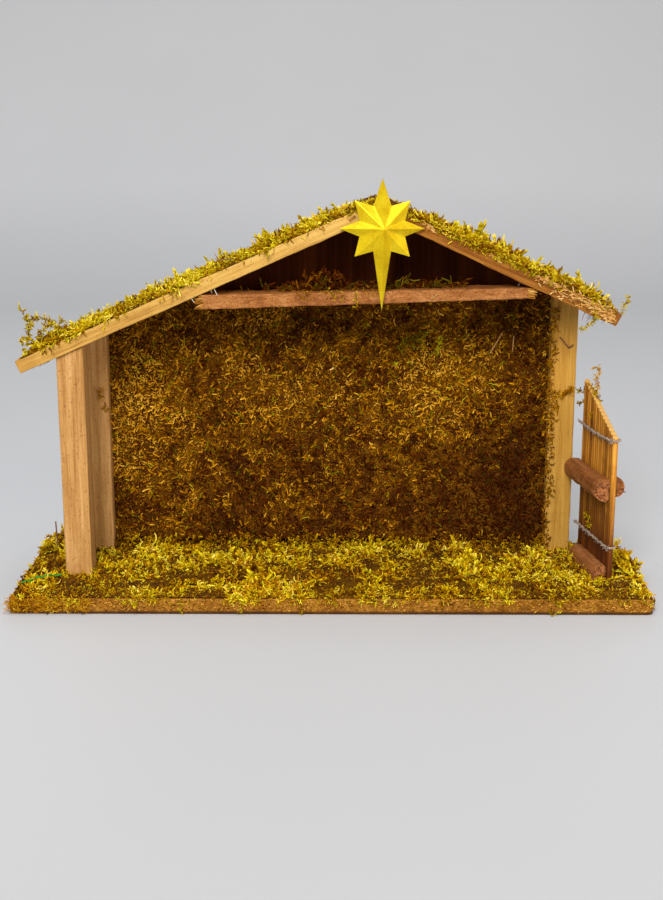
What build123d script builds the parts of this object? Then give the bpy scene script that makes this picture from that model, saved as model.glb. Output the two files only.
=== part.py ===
"""Wooden nativity stable: a lopsided gable roof on three posts, lined with moss, with a reed fence.

X runs along the front to the right, Y from the front to the back and Z up.
The origin is the middle of the base board's underside.  Lengths are millimetres, angles degrees.
"""

import os
from math import cos, pi, radians, sin, tan

from build123d import *

# Base board
base_width = 332.0
base_depth = 90.0
base_thickness = 8.0
base_corner_radius = 4.0
base_edge_break = 0.6

# Posts of square sawn stock
post_width = 14.0
post_edge_break = 0.5
front_post_inset = 24.6  # left end of the base to the front post's outer face
front_post_setback = 27.0  # front edge of the base to the front post's front face
left_post_inset = 29.3  # left end of the base to the left rear post's outer face
right_post_inset = 33.0  # right end of the base to the right rear post's outer face

# Back panel, nailed to the rear faces of the rear posts
panel_thickness = 4.0
panel_setback = 2.0  # rear edge of the base to the panel's rear face

# Roof of two boards that meet at an upright mitre
ridge_offset = 23.7  # ridge to the right of the base's middle
ridge_height = 200.8  # underside of the ridge above the ground
left_pitch = 23.55
right_pitch = 24.7
left_overhang = 18.1  # front post's outer face to the lower edge of the left eave
right_overhang = 11.2  # right post's outer face to the lower edge of the right eave
roof_thickness = 6.8
roof_front_setback = 25.0  # front edge of the base to the roof's front edge
roof_rear_overhang = 1.5  # past the panel's rear face

# Tie beam, a tapering stick whose upper corners meet the roof boards
tie_left_reach = 91.1  # level distance from the ridge to the left end
tie_right_reach = 77.9
tie_left_height = 7.4
tie_right_height = 5.4
tie_depth = 18.0
tie_setback = 1.0  # behind the roof's front edge

# Star, a moulding with a ridge along each arm
star_offset = 1.6  # star's middle to the right of the ridge
star_peak_offset = 0.9  # star's peak to the right of its middle
star_drop = 6.0  # ridge underside to the star's middle
star_top_arm = 24.7
star_side_arm = 21.2
star_bottom_arm = 41.4
star_corner_arm = 19.5
star_valley_radius = 12.0
star_top_valley_angle = 68.0
star_side_valley_angle = 19.0
star_rim = 1.6
star_relief = 5.5
star_glue_radius = 3.4
star_glue_thickness = 1.5

# Fence of upright reeds beside the right rear post
reed_count = 16
reed_diameter = 3.0
reed_gap = 0.1
fence_angle = 8.8  # turned in at the rear
fence_post_gap = 4.4  # right post's outer face to the last reed
fence_rear_gap = 3.0  # right post's front face to the last reed's middle
fence_rear_height = 110.0  # slanting top above the ground, at the last reed
fence_slope = 24.5

# Twine bindings of the fence
twine_diameter = 1.2
twine_gap = 0.1
twine_tail = 3.0
upper_twine_drop = 1.8  # top of the first reed to the upper twine
lower_twine_rise = 22.0  # base to the lower twine

# Log rails of the fence, each with one side planed flat
inner_rail_radius = 5.9
inner_rail_reach = 8.4  # reeds to the far side of the log
outer_rail_radius = 5.3
outer_rail_reach = 7.0
lower_rail_radius = 5.6
lower_rail_reach = 7.4
upper_rail_rise = 52.5  # base to the middle of the upper rails
rail_gap = 0.05
inner_rail_short = 1.0  # from the first reed's middle back to the rail's front end
outer_rail_short = 6.0
lower_rail_short = 1.5
lower_rail_length = 40.0

# Nails
nail_diameter = 1.3
nail_head_diameter = 2.8
nail_head_thickness = 0.7
nail_length = 22.0
nail_recess = 0.4
nail_clearance = 0.03
panel_nail_length = 15.4
panel_nail_rise = 35.0  # base to the lower nail of a post
panel_nail_drop = 22.0  # lowest edge of a post's top to its upper nail
tie_nail_inset = 5.0  # from the ends of the tie beam
tie_nail_length = 14.0

# Moss mats
moss_gap = 0.3
floor_moss_inset = 1.2
floor_moss_thickness = 4.4
floor_moss_wave = 0.9
floor_moss_rear_rise = 2.4
wall_moss_thickness = 7.5
wall_moss_wave = 1.3
wall_moss_rise = 9.0  # base to the lower edge of the wall moss
wall_moss_drop = 43.5  # ridge underside to the upper edge of the wall moss
roof_moss_ridge_thickness = 2.8
left_moss_eave_thickness = 7.2
right_moss_eave_thickness = 7.2
roof_moss_wave = 1.2
roof_moss_setback = 0.6
loft_moss_left_reach = 50.2
loft_moss_right_reach = 44.8
loft_moss_setback = 9.0
loft_moss_thickness = 5.0
loft_moss_wave = 1.2
moss_wave_length = 31.0

# Places that follow from the sizes above
base_front = -base_depth / 2
base_rear = base_depth / 2
base_left = -base_width / 2
base_right = base_width / 2
panel_rear = base_rear - panel_setback
panel_front = panel_rear - panel_thickness
rear_post_front = panel_front - post_width
front_post_front = base_front + front_post_setback
front_post_left = base_left + front_post_inset
left_post_left = base_left + left_post_inset
right_post_right = base_right - right_post_inset
right_post_left = right_post_right - post_width
roof_front = base_front + roof_front_setback
roof_rear = panel_rear + roof_rear_overhang
left_eave = front_post_left - left_overhang
right_eave = right_post_right + right_overhang
left_slope = tan(radians(left_pitch))
right_slope = tan(radians(right_pitch))


def underside(x):
    """Height of the roof's underside."""
    if x < ridge_offset:
        return ridge_height - (ridge_offset - x) * left_slope
    return ridge_height - (x - ridge_offset) * right_slope


def roof_top(x):
    """Height of the roof boards' upper faces."""
    pitch = left_pitch if x < ridge_offset else right_pitch
    return underside(x) + roof_thickness / cos(radians(pitch))


def ripple(along, across):
    """Uneven swell of a moss mat, between -1 and 1."""
    first = sin(2 * pi * along / moss_wave_length + across * 0.11)
    second = sin(2 * pi * along / (moss_wave_length * 0.43) - across * 0.23 + 1.0)
    return 0.6 * first + 0.4 * second


def upright(y):
    """Upright plane across the stable at a depth, facing the front."""
    return Plane(origin=(0, y, 0), x_dir=(1, 0, 0), z_dir=(0, -1, 0))


def add_nails(planes, length, clearance=0.0, mode=Mode.ADD):
    """Nails with their heads' outer faces on the planes, driven along the planes' normals."""
    below = (Align.CENTER, Align.CENTER, Align.MIN)
    with Locations(*planes):
        Cylinder(nail_diameter / 2 + clearance, length + clearance, align=below, mode=mode)
        Cylinder(
            nail_head_diameter / 2 + clearance, nail_head_thickness + clearance, align=below, mode=mode
        )


def clear_heads(planes):
    """Open the wood from a nail's head out to the surface."""
    above = (Align.CENTER, Align.CENTER, Align.MAX)
    with Locations(*planes):
        Cylinder(nail_head_diameter / 2 + nail_clearance, nail_recess * 2, align=above, mode=Mode.SUBTRACT)


def roof_nail(x, y):
    """Nail plane square to the roof board's upper face, over a place on its underside."""
    pitch = radians(left_pitch) if x < ridge_offset else -radians(right_pitch)
    inward = Vector(sin(pitch), 0, -cos(pitch))
    foot = Vector(x, y, underside(x))
    return Plane(origin=foot - inward * (roof_thickness - nail_recess), z_dir=inward)


# Nail places
front_post_middle = (front_post_left + post_width / 2, front_post_front + post_width / 2)
left_post_middle = (left_post_left + post_width / 2, rear_post_front + post_width / 2)
right_post_middle = (right_post_left + post_width / 2, rear_post_front + post_width / 2)
post_nail_planes = []
for middle in (front_post_middle, left_post_middle, right_post_middle):
    post_nail_planes.append(Plane(origin=(middle[0], middle[1], nail_recess), z_dir=(0, 0, 1)))
left_roof_nail_planes = [roof_nail(*front_post_middle), roof_nail(*left_post_middle)]
right_roof_nail_planes = [roof_nail(*right_post_middle)]
tie_left = ridge_offset - tie_left_reach
tie_right = ridge_offset + tie_right_reach
tie_front = roof_front + tie_setback
tie_middle = tie_front + tie_depth / 2
left_tie_nail_planes = [roof_nail(tie_left + tie_nail_inset, tie_middle)]
right_tie_nail_planes = [roof_nail(tie_right - tie_nail_inset, tie_middle)]
panel_nail_planes = []
for nail_x, post_edge in ((left_post_middle[0], left_post_left), (right_post_middle[0], right_post_right)):
    for nail_z in (base_thickness + panel_nail_rise, underside(post_edge) - panel_nail_drop):
        nail_origin = (nail_x, panel_rear - nail_recess, nail_z)
        panel_nail_planes.append(Plane(origin=nail_origin, z_dir=(0, -1, 0)))

# Base board
with BuildPart() as base_board:
    with BuildSketch():
        RectangleRounded(base_width, base_depth, base_corner_radius)
    extrude(amount=base_thickness)
    chamfer(base_board.faces().sort_by(Axis.Z)[-1].edges(), length=base_edge_break)
    add_nails(post_nail_planes, nail_length, nail_clearance, Mode.SUBTRACT)
    clear_heads(post_nail_planes)


def add_post(left, front):
    """Upright post whose top is cut to the roof's underside."""
    right = left + post_width
    with BuildSketch(upright(front + post_width)) as profile:
        Polygon(
            (left, base_thickness),
            (right, base_thickness),
            (right, underside(right)),
            (left, underside(left)),
            align=None,
        )
    extrude(profile.sketch, amount=post_width)


# Posts
with BuildPart() as left_front_post:
    add_post(front_post_left, front_post_front)
    chamfer(left_front_post.edges().filter_by(Axis.Z), length=post_edge_break)
    add_nails(post_nail_planes, nail_length, nail_clearance, Mode.SUBTRACT)
    add_nails(left_roof_nail_planes, nail_length, nail_clearance, Mode.SUBTRACT)

with BuildPart() as left_rear_post:
    add_post(left_post_left, rear_post_front)
    chamfer(left_rear_post.edges().filter_by(Axis.Z), length=post_edge_break)
    add_nails(post_nail_planes, nail_length, nail_clearance, Mode.SUBTRACT)
    add_nails(left_roof_nail_planes, nail_length, nail_clearance, Mode.SUBTRACT)
    add_nails(panel_nail_planes, panel_nail_length, nail_clearance, Mode.SUBTRACT)

with BuildPart() as right_rear_post:
    add_post(right_post_left, rear_post_front)
    chamfer(right_rear_post.edges().filter_by(Axis.Z), length=post_edge_break)
    add_nails(post_nail_planes, nail_length, nail_clearance, Mode.SUBTRACT)
    add_nails(right_roof_nail_planes, nail_length, nail_clearance, Mode.SUBTRACT)
    add_nails(panel_nail_planes, panel_nail_length, nail_clearance, Mode.SUBTRACT)

# Back panel, gable-shaped up to the roof boards
with BuildPart() as back_panel:
    with BuildSketch(upright(panel_rear)):
        Polygon(
            (left_post_left, base_thickness),
            (right_post_right, base_thickness),
            (right_post_right, underside(right_post_right)),
            (ridge_offset, ridge_height),
            (left_post_left, underside(left_post_left)),
            align=None,
        )
    extrude(amount=panel_thickness)
    add_nails(panel_nail_planes, panel_nail_length, nail_clearance, Mode.SUBTRACT)
    clear_heads(panel_nail_planes)

# Roof boards
with BuildPart() as left_roof_board:
    with BuildSketch(upright(roof_rear)):
        Polygon(
            (ridge_offset, ridge_height),
            (ridge_offset, ridge_height + roof_thickness / cos(radians(left_pitch))),
            (
                left_eave - roof_thickness * sin(radians(left_pitch)),
                underside(left_eave) + roof_thickness * cos(radians(left_pitch)),
            ),
            (left_eave, underside(left_eave)),
            align=None,
        )
    extrude(amount=roof_rear - roof_front)
    add_nails(left_roof_nail_planes, nail_length, nail_clearance, Mode.SUBTRACT)
    add_nails(left_tie_nail_planes, tie_nail_length, nail_clearance, Mode.SUBTRACT)
    clear_heads(left_roof_nail_planes + left_tie_nail_planes)

with BuildPart() as right_roof_board:
    with BuildSketch(upright(roof_rear)):
        Polygon(
            (ridge_offset, ridge_height),
            (ridge_offset, ridge_height + roof_thickness / cos(radians(right_pitch))),
            (
                right_eave + roof_thickness * sin(radians(right_pitch)),
                underside(right_eave) + roof_thickness * cos(radians(right_pitch)),
            ),
            (right_eave, underside(right_eave)),
            align=None,
        )
    extrude(amount=roof_rear - roof_front)
    add_nails(right_roof_nail_planes, nail_length, nail_clearance, Mode.SUBTRACT)
    add_nails(right_tie_nail_planes, tie_nail_length, nail_clearance, Mode.SUBTRACT)
    clear_heads(right_roof_nail_planes + right_tie_nail_planes)

# Tie beam
with BuildPart() as tie_beam:
    with BuildSketch(upright(tie_front + tie_depth)):
        Polygon(
            (tie_left, underside(tie_left)),
            (tie_right, underside(tie_right)),
            (tie_right, underside(tie_right) - tie_right_height),
            (tie_left, underside(tie_left) - tie_left_height),
            align=None,
        )
    extrude(amount=tie_depth)
    add_nails(left_tie_nail_planes, tie_nail_length, nail_clearance, Mode.SUBTRACT)
    add_nails(right_tie_nail_planes, tie_nail_length, nail_clearance, Mode.SUBTRACT)

# Star
star_x = ridge_offset + star_offset
star_z = ridge_height - star_drop
star_back = roof_front - star_glue_thickness
star_arms = (
    (90, star_top_arm),
    (star_top_valley_angle, star_valley_radius),
    (45, star_corner_arm),
    (star_side_valley_angle, star_valley_radius),
    (0, star_side_arm),
    (-star_side_valley_angle, star_valley_radius),
    (-45, star_corner_arm),
    (-star_top_valley_angle, star_valley_radius),
)
star_points = [(r * cos(radians(a)), r * sin(radians(a))) for a, r in star_arms]
star_points.append((0, -star_bottom_arm))
star_points += [(-x, y) for x, y in reversed(star_points[1:-1])]
star_plane = Plane(origin=(star_x, star_back, star_z), x_dir=(1, 0, 0), z_dir=(0, -1, 0))
with BuildPart() as star:
    with BuildSketch(star_plane):
        Polygon(*star_points, align=None)
    extrude(amount=star_rim)
    star_peak = star_plane.offset(star_rim + star_relief).origin + Vector(star_peak_offset, 0, 0)
    loft(sections=[star.faces().sort_by(Axis.Y)[0], Vertex(*star_peak)], ruled=True)

glue_plane = Plane(
    origin=(ridge_offset, roof_front, ridge_height + roof_thickness / 2), x_dir=(1, 0, 0), z_dir=(0, -1, 0)
)
with BuildPart() as star_glue:
    with BuildSketch(glue_plane):
        Circle(star_glue_radius)
    extrude(amount=star_glue_thickness)

# Fence reeds, from the rear to the front
reed_pitch = reed_diameter + reed_gap
reed_radius = reed_diameter / 2
fence_rear = Vector(right_post_right + fence_post_gap + reed_radius, rear_post_front - fence_rear_gap, 0)
fence_forward = Vector(sin(radians(fence_angle)), -cos(radians(fence_angle)), 0)
fence_inward = Vector(-cos(radians(fence_angle)), -sin(radians(fence_angle)), 0)
fence_length = reed_pitch * (reed_count - 1)
fence_front = fence_rear + fence_forward * fence_length
slant_normal = Vector(0, 0, cos(radians(fence_slope))) + fence_forward * sin(radians(fence_slope))
slant_plane = Plane(origin=fence_rear + Vector(0, 0, fence_rear_height), z_dir=slant_normal)
reeds = []
for reed_number in range(reed_count):
    foot = fence_rear + fence_forward * (reed_pitch * reed_number) + Vector(0, 0, base_thickness)
    with BuildPart() as reed:
        with BuildSketch(Plane(origin=foot)):
            Circle(reed_radius)
        extrude(amount=fence_rear_height)
        split(bisect_by=slant_plane, keep=Keep.BOTTOM)
    reed.part.label = f"fence_reed_{reed_number + 1:02d}"
    reeds.append(reed.part)

# Twine, one length that runs along the inner side, round the first reed and back outside
twine_offset = reed_radius + twine_gap + twine_diameter / 2


def add_twine(height):
    """Twine binding at a height."""
    level = Vector(0, 0, height)
    inner_end = fence_rear + level + fence_inward * twine_offset - fence_forward * twine_tail
    inner_turn = fence_front + level + fence_inward * twine_offset
    nose = fence_front + level + fence_forward * twine_offset
    outer_turn = fence_front + level - fence_inward * twine_offset
    outer_end = fence_rear + level - fence_inward * twine_offset
    with BuildLine() as route:
        Line(inner_end, inner_turn)
        ThreePointArc(inner_turn, nose, outer_turn)
        Line(outer_turn, outer_end)
    with BuildSketch(Plane(origin=inner_end, z_dir=fence_forward)) as section:
        Circle(twine_diameter / 2)
    sweep(section.sketch, path=route.line)


with BuildPart() as fence_upper_twine:
    fence_front_height = fence_rear_height - fence_length * tan(radians(fence_slope))
    add_twine(fence_front_height - upper_twine_drop)

with BuildPart() as fence_lower_twine:
    add_twine(base_thickness + lower_twine_rise)

# Rails on both sides of the reeds
post_face = Plane(origin=(0, rear_post_front, 0), z_dir=(0, 1, 0))


def add_rail(radius, reach, side, height, short, length):
    """Log with its planed side against the reeds."""
    flat = fence_front + side * (reed_radius + rail_gap) + Vector(0, 0, height)
    front_end = flat - fence_forward * short
    with BuildSketch(Plane(origin=front_end, x_dir=side, z_dir=-fence_forward)) as section:
        with Locations((reach - radius, 0)):
            Circle(radius)
        Rectangle(2 * radius, 2 * radius, align=(Align.MAX, Align.CENTER), mode=Mode.SUBTRACT)
    extrude(section.sketch, amount=length)
    split(bisect_by=post_face, keep=Keep.BOTTOM)


upper_rail_height = base_thickness + upper_rail_rise
rail_length = fence_length + 2 * fence_rear_gap + post_width
with BuildPart() as fence_upper_inner_rail:
    add_rail(
        inner_rail_radius,
        inner_rail_reach,
        fence_inward,
        upper_rail_height,
        inner_rail_short,
        rail_length,
    )

with BuildPart() as fence_upper_outer_rail:
    add_rail(
        outer_rail_radius,
        outer_rail_reach,
        -fence_inward,
        upper_rail_height,
        outer_rail_short,
        fence_length - outer_rail_short,
    )

with BuildPart() as fence_lower_inner_rail:
    lower_rail_height = base_thickness + lower_rail_radius
    add_rail(
        lower_rail_radius,
        lower_rail_reach,
        fence_inward,
        lower_rail_height,
        lower_rail_short,
        lower_rail_length,
    )

# Nails
with BuildPart() as post_nails:
    add_nails(post_nail_planes, nail_length)

with BuildPart() as roof_nails:
    add_nails(left_roof_nail_planes + right_roof_nail_planes, nail_length)

with BuildPart() as tie_nails:
    add_nails(left_tie_nail_planes + right_tie_nail_planes, tie_nail_length)

with BuildPart() as panel_nails:
    add_nails(panel_nail_planes, panel_nail_length)


def add_mat(planes, outlines):
    """Moss mat through wavy outlines: a waved upper edge, two ends and a flat lower edge."""
    sections = []
    for plane, (lower_left, upper, lower_right) in zip(planes, outlines):
        with BuildSketch(plane) as section:
            with BuildLine():
                Spline(*upper)
                Polyline(upper[-1], lower_right, lower_left, upper[0])
            make_face()
        sections.append(section.sketch)
    loft(sections, ruled=True)


def steps(first, last, count):
    """Evenly spaced values from first to last."""
    return [first + (last - first) * i / (count - 1) for i in range(count)]


# Floor moss, thicker towards the rear, cut round the posts and the fence
floor_level = base_thickness
floor_cut_height = 4 * (floor_moss_thickness + floor_moss_rear_rise + floor_moss_wave)
floor_depths = steps(base_front + floor_moss_inset, base_rear - floor_moss_inset, 6)
floor_columns = steps(base_left + floor_moss_inset, base_right - floor_moss_inset, 25)
floor_outlines = []
for y in floor_depths:
    rise = floor_moss_rear_rise * (y - floor_depths[0]) / (floor_depths[-1] - floor_depths[0])
    crest = floor_level + floor_moss_thickness + rise
    upper = [(x, crest + floor_moss_wave * ripple(x, y)) for x in floor_columns]
    lower_left = (floor_columns[0], floor_level)
    lower_right = (floor_columns[-1], floor_level)
    floor_outlines.append((lower_left, upper, lower_right))
with BuildPart() as floor_moss:
    add_mat([upright(y) for y in floor_depths], floor_outlines)
    for middle in (front_post_middle, left_post_middle, right_post_middle):
        with Locations((middle[0], middle[1], floor_level)):
            Box(
                post_width + 2 * moss_gap,
                post_width + 2 * moss_gap,
                floor_cut_height,
                mode=Mode.SUBTRACT,
            )
    panel_middle = (left_post_left + right_post_right) / 2
    with Locations((panel_middle, panel_front - moss_gap, floor_level)):
        Box(
            right_post_right - left_post_left + 2 * moss_gap,
            panel_thickness + 2 * moss_gap,
            floor_cut_height,
            align=(Align.CENTER, Align.MIN, Align.CENTER),
            mode=Mode.SUBTRACT,
        )
    with BuildSketch(Plane(origin=(0, 0, floor_level))):
        with BuildLine():
            outer = reed_radius + moss_gap
            inner = reed_radius + rail_gap + lower_rail_reach + moss_gap
            near = fence_front + fence_forward * outer
            far = fence_rear - fence_forward * outer
            Polyline(
                near + fence_inward * inner,
                near - fence_inward * outer,
                far - fence_inward * outer,
                far + fence_inward * inner,
                close=True,
            )
        make_face()
    extrude(amount=floor_cut_height, mode=Mode.SUBTRACT)

# Wall moss between the rear posts, kept below the roof boards
wall_left = left_post_left + post_width + moss_gap
wall_right = right_post_left - moss_gap
wall_columns = steps(wall_left, wall_right, 21)
wall_levels = steps(base_thickness + wall_moss_rise, ridge_height - wall_moss_drop, 7)
wall_outlines = []
for z in wall_levels:
    face = panel_front - moss_gap - wall_moss_thickness
    upper = [(x, face + wall_moss_wave * ripple(x, z)) for x in wall_columns]
    lower_left = (wall_left, panel_front - moss_gap)
    lower_right = (wall_right, panel_front - moss_gap)
    wall_outlines.append((lower_left, upper, lower_right))
with BuildPart() as wall_moss:
    add_mat([Plane(origin=(0, 0, z)) for z in wall_levels], wall_outlines)
    with BuildSketch(upright(panel_front)):
        Polygon(
            (left_post_left, 0),
            (right_post_right, 0),
            (right_post_right, underside(right_post_right) - moss_gap),
            (ridge_offset, ridge_height - moss_gap),
            (left_post_left, underside(left_post_left) - moss_gap),
            align=None,
        )
    extrude(amount=post_width * 2, mode=Mode.INTERSECT)

# Roof moss, thicker towards the eaves
moss_depths = steps(roof_front + roof_moss_setback, roof_rear - roof_moss_setback, 5)


def roof_outlines(eave, eave_thickness):
    """Outlines of a roof mat, one for each depth."""
    ridge_side = ridge_offset + (moss_gap if eave > ridge_offset else -moss_gap)
    columns = steps(ridge_side, eave, 15)
    outlines = []
    for y in moss_depths:
        upper = []
        for x in columns:
            share = (x - ridge_side) / (eave - ridge_side)
            swell = roof_moss_ridge_thickness + (eave_thickness - roof_moss_ridge_thickness) * share
            upper.append((x, roof_top(x) + swell + roof_moss_wave * ripple(x, y)))
        lower_start = (ridge_side, roof_top(ridge_side))
        lower_end = (eave, roof_top(eave))
        outlines.append((lower_start, upper, lower_end))
    return outlines


with BuildPart() as left_roof_moss:
    add_mat([upright(y) for y in moss_depths], roof_outlines(left_eave, left_moss_eave_thickness))

with BuildPart() as right_roof_moss:
    add_mat([upright(y) for y in moss_depths], roof_outlines(right_eave, right_moss_eave_thickness))

# Loft moss, a strip on the tie beam
loft_left = ridge_offset - loft_moss_left_reach
loft_right = ridge_offset + loft_moss_right_reach
loft_columns = steps(loft_left, loft_right, 13)
loft_depths = steps(tie_front + loft_moss_setback, tie_front + tie_depth - moss_gap, 3)
tie_rise = (underside(tie_right) - underside(tie_left)) / (tie_right - tie_left)
loft_outlines = []
for y in loft_depths:
    beds = [underside(tie_left) + (x - tie_left) * tie_rise for x in loft_columns]
    upper = []
    for x, bed in zip(loft_columns, beds):
        upper.append((x, bed + loft_moss_thickness + loft_moss_wave * ripple(x, y)))
    loft_outlines.append(((loft_left, beds[0]), upper, (loft_right, beds[-1])))
with BuildPart() as loft_moss:
    add_mat([upright(y) for y in loft_depths], loft_outlines)

# Files, one for each piece
pieces = {
    "base_board": base_board,
    "left_front_post": left_front_post,
    "left_rear_post": left_rear_post,
    "right_rear_post": right_rear_post,
    "back_panel": back_panel,
    "left_roof_board": left_roof_board,
    "right_roof_board": right_roof_board,
    "tie_beam": tie_beam,
    "star": star,
    "star_glue": star_glue,
    "fence_upper_twine": fence_upper_twine,
    "fence_lower_twine": fence_lower_twine,
    "fence_upper_inner_rail": fence_upper_inner_rail,
    "fence_upper_outer_rail": fence_upper_outer_rail,
    "fence_lower_inner_rail": fence_lower_inner_rail,
    "post_nails": post_nails,
    "roof_nails": roof_nails,
    "tie_nails": tie_nails,
    "panel_nails": panel_nails,
    "floor_moss": floor_moss,
    "wall_moss": wall_moss,
    "left_roof_moss": left_roof_moss,
    "right_roof_moss": right_roof_moss,
    "loft_moss": loft_moss,
}
os.makedirs("parts", exist_ok=True)
for name, piece in pieces.items():
    piece.part.label = name
    export_step(piece.part, f"parts/{name}.step")
for reed_part in reeds:
    export_step(reed_part, f"parts/{reed_part.label}.step")
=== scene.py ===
import random
from math import cos, pi, radians, sin, tan

import bmesh
import bpy
from mathutils import Matrix, Quaternion, Vector, noise
from mathutils.bvhtree import BVHTree


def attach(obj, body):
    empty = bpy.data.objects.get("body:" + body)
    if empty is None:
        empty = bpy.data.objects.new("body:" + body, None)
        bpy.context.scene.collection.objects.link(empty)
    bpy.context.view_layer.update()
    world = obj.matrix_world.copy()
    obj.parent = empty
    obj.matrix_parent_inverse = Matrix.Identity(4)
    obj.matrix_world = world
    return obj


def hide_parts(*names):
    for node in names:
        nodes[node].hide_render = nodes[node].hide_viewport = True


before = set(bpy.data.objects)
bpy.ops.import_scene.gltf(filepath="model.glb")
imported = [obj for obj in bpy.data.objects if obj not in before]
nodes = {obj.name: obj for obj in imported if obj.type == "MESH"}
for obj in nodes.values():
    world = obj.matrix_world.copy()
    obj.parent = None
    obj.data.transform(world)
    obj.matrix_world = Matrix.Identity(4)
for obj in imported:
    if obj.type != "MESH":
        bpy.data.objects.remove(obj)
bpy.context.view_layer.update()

scene = bpy.context.scene
chance = random.Random(12)
MM = 0.001
UP = Vector((0, 0, 1))
DOWN = -UP
BACK = Vector((0, 1, 0))
FRONT = -BACK
RIGHT = Vector((1, 0, 0))
LEFT = -RIGHT

# Places on the stable, in millimetres, taken from the frame's own pieces


def box_of(node):
    """The low and the high corner of a piece of the frame, in millimetres, to the nearest hundredth."""
    sides = list(zip(*(tuple(corner) for corner in nodes[node].bound_box)))
    low = [round(min(side) / MM, 2) for side in sides]
    high = [round(max(side) / MM, 2) for side in sides]
    return low, high


base_low, base_high = box_of("base_board")
BASE_LEFT, BASE_FRONT = base_low[:2]
BASE_RIGHT, BASE_REAR, BASE_TOP = base_high

RIGHT_POST = "right_rear_post"
post_low, post_high = box_of(RIGHT_POST)
POST = post_high[0] - post_low[0]
POSTS = {post: box_of(post)[0][:2] for post in ("left_front_post", "left_rear_post", RIGHT_POST)}

ROOF_THICK = 6.8
LEFT_PITCH = radians(23.55)
RIGHT_PITCH = radians(24.7)
roof_low, roof_high = box_of("left_roof_board")
ROOF_FRONT = roof_low[1]
ROOF_REAR = roof_high[1]
RIDGE_X = roof_high[0]
RIDGE_Z = box_of("back_panel")[1][2]
LEFT_EAVE = round(roof_low[0] + ROOF_THICK * sin(LEFT_PITCH), 1)
RIGHT_EAVE = round(box_of("right_roof_board")[1][0] - ROOF_THICK * sin(RIGHT_PITCH), 1)

tie_low, tie_high = box_of("tie_beam")
TIE_LEFT, TIE_FRONT = tie_low[:2]
TIE_RIGHT = tie_high[0]
TIE_DEPTH = tie_high[1] - TIE_FRONT
TIE_LEFT_HEIGHT = 7.4
TIE_RIGHT_HEIGHT = 5.4

REED_PITCH = 3.1
REED_COUNT = 16
reed_low, reed_high = box_of("fence_reed_01")
REED = round(reed_high[0] - reed_low[0], 2)
FENCE_TURN = radians(8.8)
FENCE_FORWARD = Vector((sin(FENCE_TURN), -cos(FENCE_TURN), 0.0))
FENCE_INWARD = Vector((-cos(FENCE_TURN), -sin(FENCE_TURN), 0.0))
FENCE_RUN = REED_PITCH * (REED_COUNT - 1)
FENCE_REAR = Vector(((reed_low[0] + reed_high[0]) / 2, (reed_low[1] + reed_high[1]) / 2, 0.0))
FENCE_FRONT = FENCE_REAR + FENCE_FORWARD * FENCE_RUN
FENCE_REAR_TOP = 110.0
FENCE_SLOPE = radians(24.5)
UPPER_RAIL_Z = 60.5

WALL_BACK = box_of("wall_moss")[1][1]
WALL_FACE = 28.6
POST_FACE = POSTS[RIGHT_POST][1] - 0.5
TIE_FACE = TIE_FRONT - 0.4


def underside(x):
    """Height of the roof's underside, in millimetres."""
    if x < RIDGE_X:
        return RIDGE_Z - (RIDGE_X - x) * tan(LEFT_PITCH)
    return RIDGE_Z - (x - RIDGE_X) * tan(RIGHT_PITCH)


def roof_top(x):
    """Height of the roof boards' upper faces, in metres."""
    pitch = LEFT_PITCH if x < RIDGE_X * MM else RIGHT_PITCH
    return (underside(x / MM) + ROOF_THICK / cos(pitch)) * MM


def roof_level(x):
    """Height of the roof boards' upper faces, in millimetres."""
    return roof_top(x * MM) / MM


def tie_top(x):
    """Height of the tie beam's upper face, in metres."""
    share = (x / MM - TIE_LEFT) / (TIE_RIGHT - TIE_LEFT)
    return (underside(TIE_LEFT) + share * (underside(TIE_RIGHT) - underside(TIE_LEFT))) * MM


def tie_level(x):
    """Height of the tie beam's upper face, in millimetres."""
    return tie_top(x * MM) / MM


# Shader helpers


def feed(tree, node, values):
    """Set a node's inputs, or link them where a value is a socket."""
    for socket, value in values.items():
        if isinstance(value, bpy.types.NodeSocket):
            tree.links.new(value, node.inputs[socket])
        else:
            node.inputs[socket].default_value = value


def add(tree, kind, values, **settings):
    """A shader node with its settings and its inputs."""
    made = tree.nodes.new("ShaderNode" + kind)
    for name, value in settings.items():
        setattr(made, name, value)
    feed(tree, made, values)
    return made


def new_finish(name):
    """An empty material, its node tree and its shader."""
    finish = bpy.data.materials.new(name)
    finish.use_nodes = True
    return finish, finish.node_tree, finish.node_tree.nodes["Principled BSDF"]


def own_place(tree):
    """Object coordinates, in metres."""
    return add(tree, "TexCoord", {}).outputs["Object"]


def part_of(tree, place, axis):
    """One coordinate of a place: 0 for X, 1 for Y, 2 for Z."""
    return add(tree, "SeparateXYZ", {0: place}).outputs[axis]


def stretched(tree, turn, stretch):
    """Object coordinates, first turned, then stretched."""
    turned = add(tree, "Mapping", {"Vector": own_place(tree), "Rotation": turn}).outputs[0]
    return add(tree, "Mapping", {"Vector": turned, "Scale": stretch}).outputs[0]


def dot(tree, place, direction):
    """How far a place is along a direction."""
    return add(tree, "VectorMath", {0: place, 1: direction}, operation="DOT_PRODUCT").outputs["Value"]


def figure(tree, way, first, second=0.0):
    """A sum, product or other figure of two values."""
    return add(tree, "Math", {0: first, 1: second}, operation=way).outputs[0]


def blend(tree, share, first, second):
    """Two values mixed."""
    return add(tree, "Mix", {0: share, 2: first, 3: second}, data_type="FLOAT").outputs[0]


def ease(tree, value, low, high, new_low, new_high):
    """A value mapped from one range to another."""
    return add(tree, "MapRange", {0: value, 1: low, 2: high, 3: new_low, 4: new_high}).outputs[0]


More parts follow.
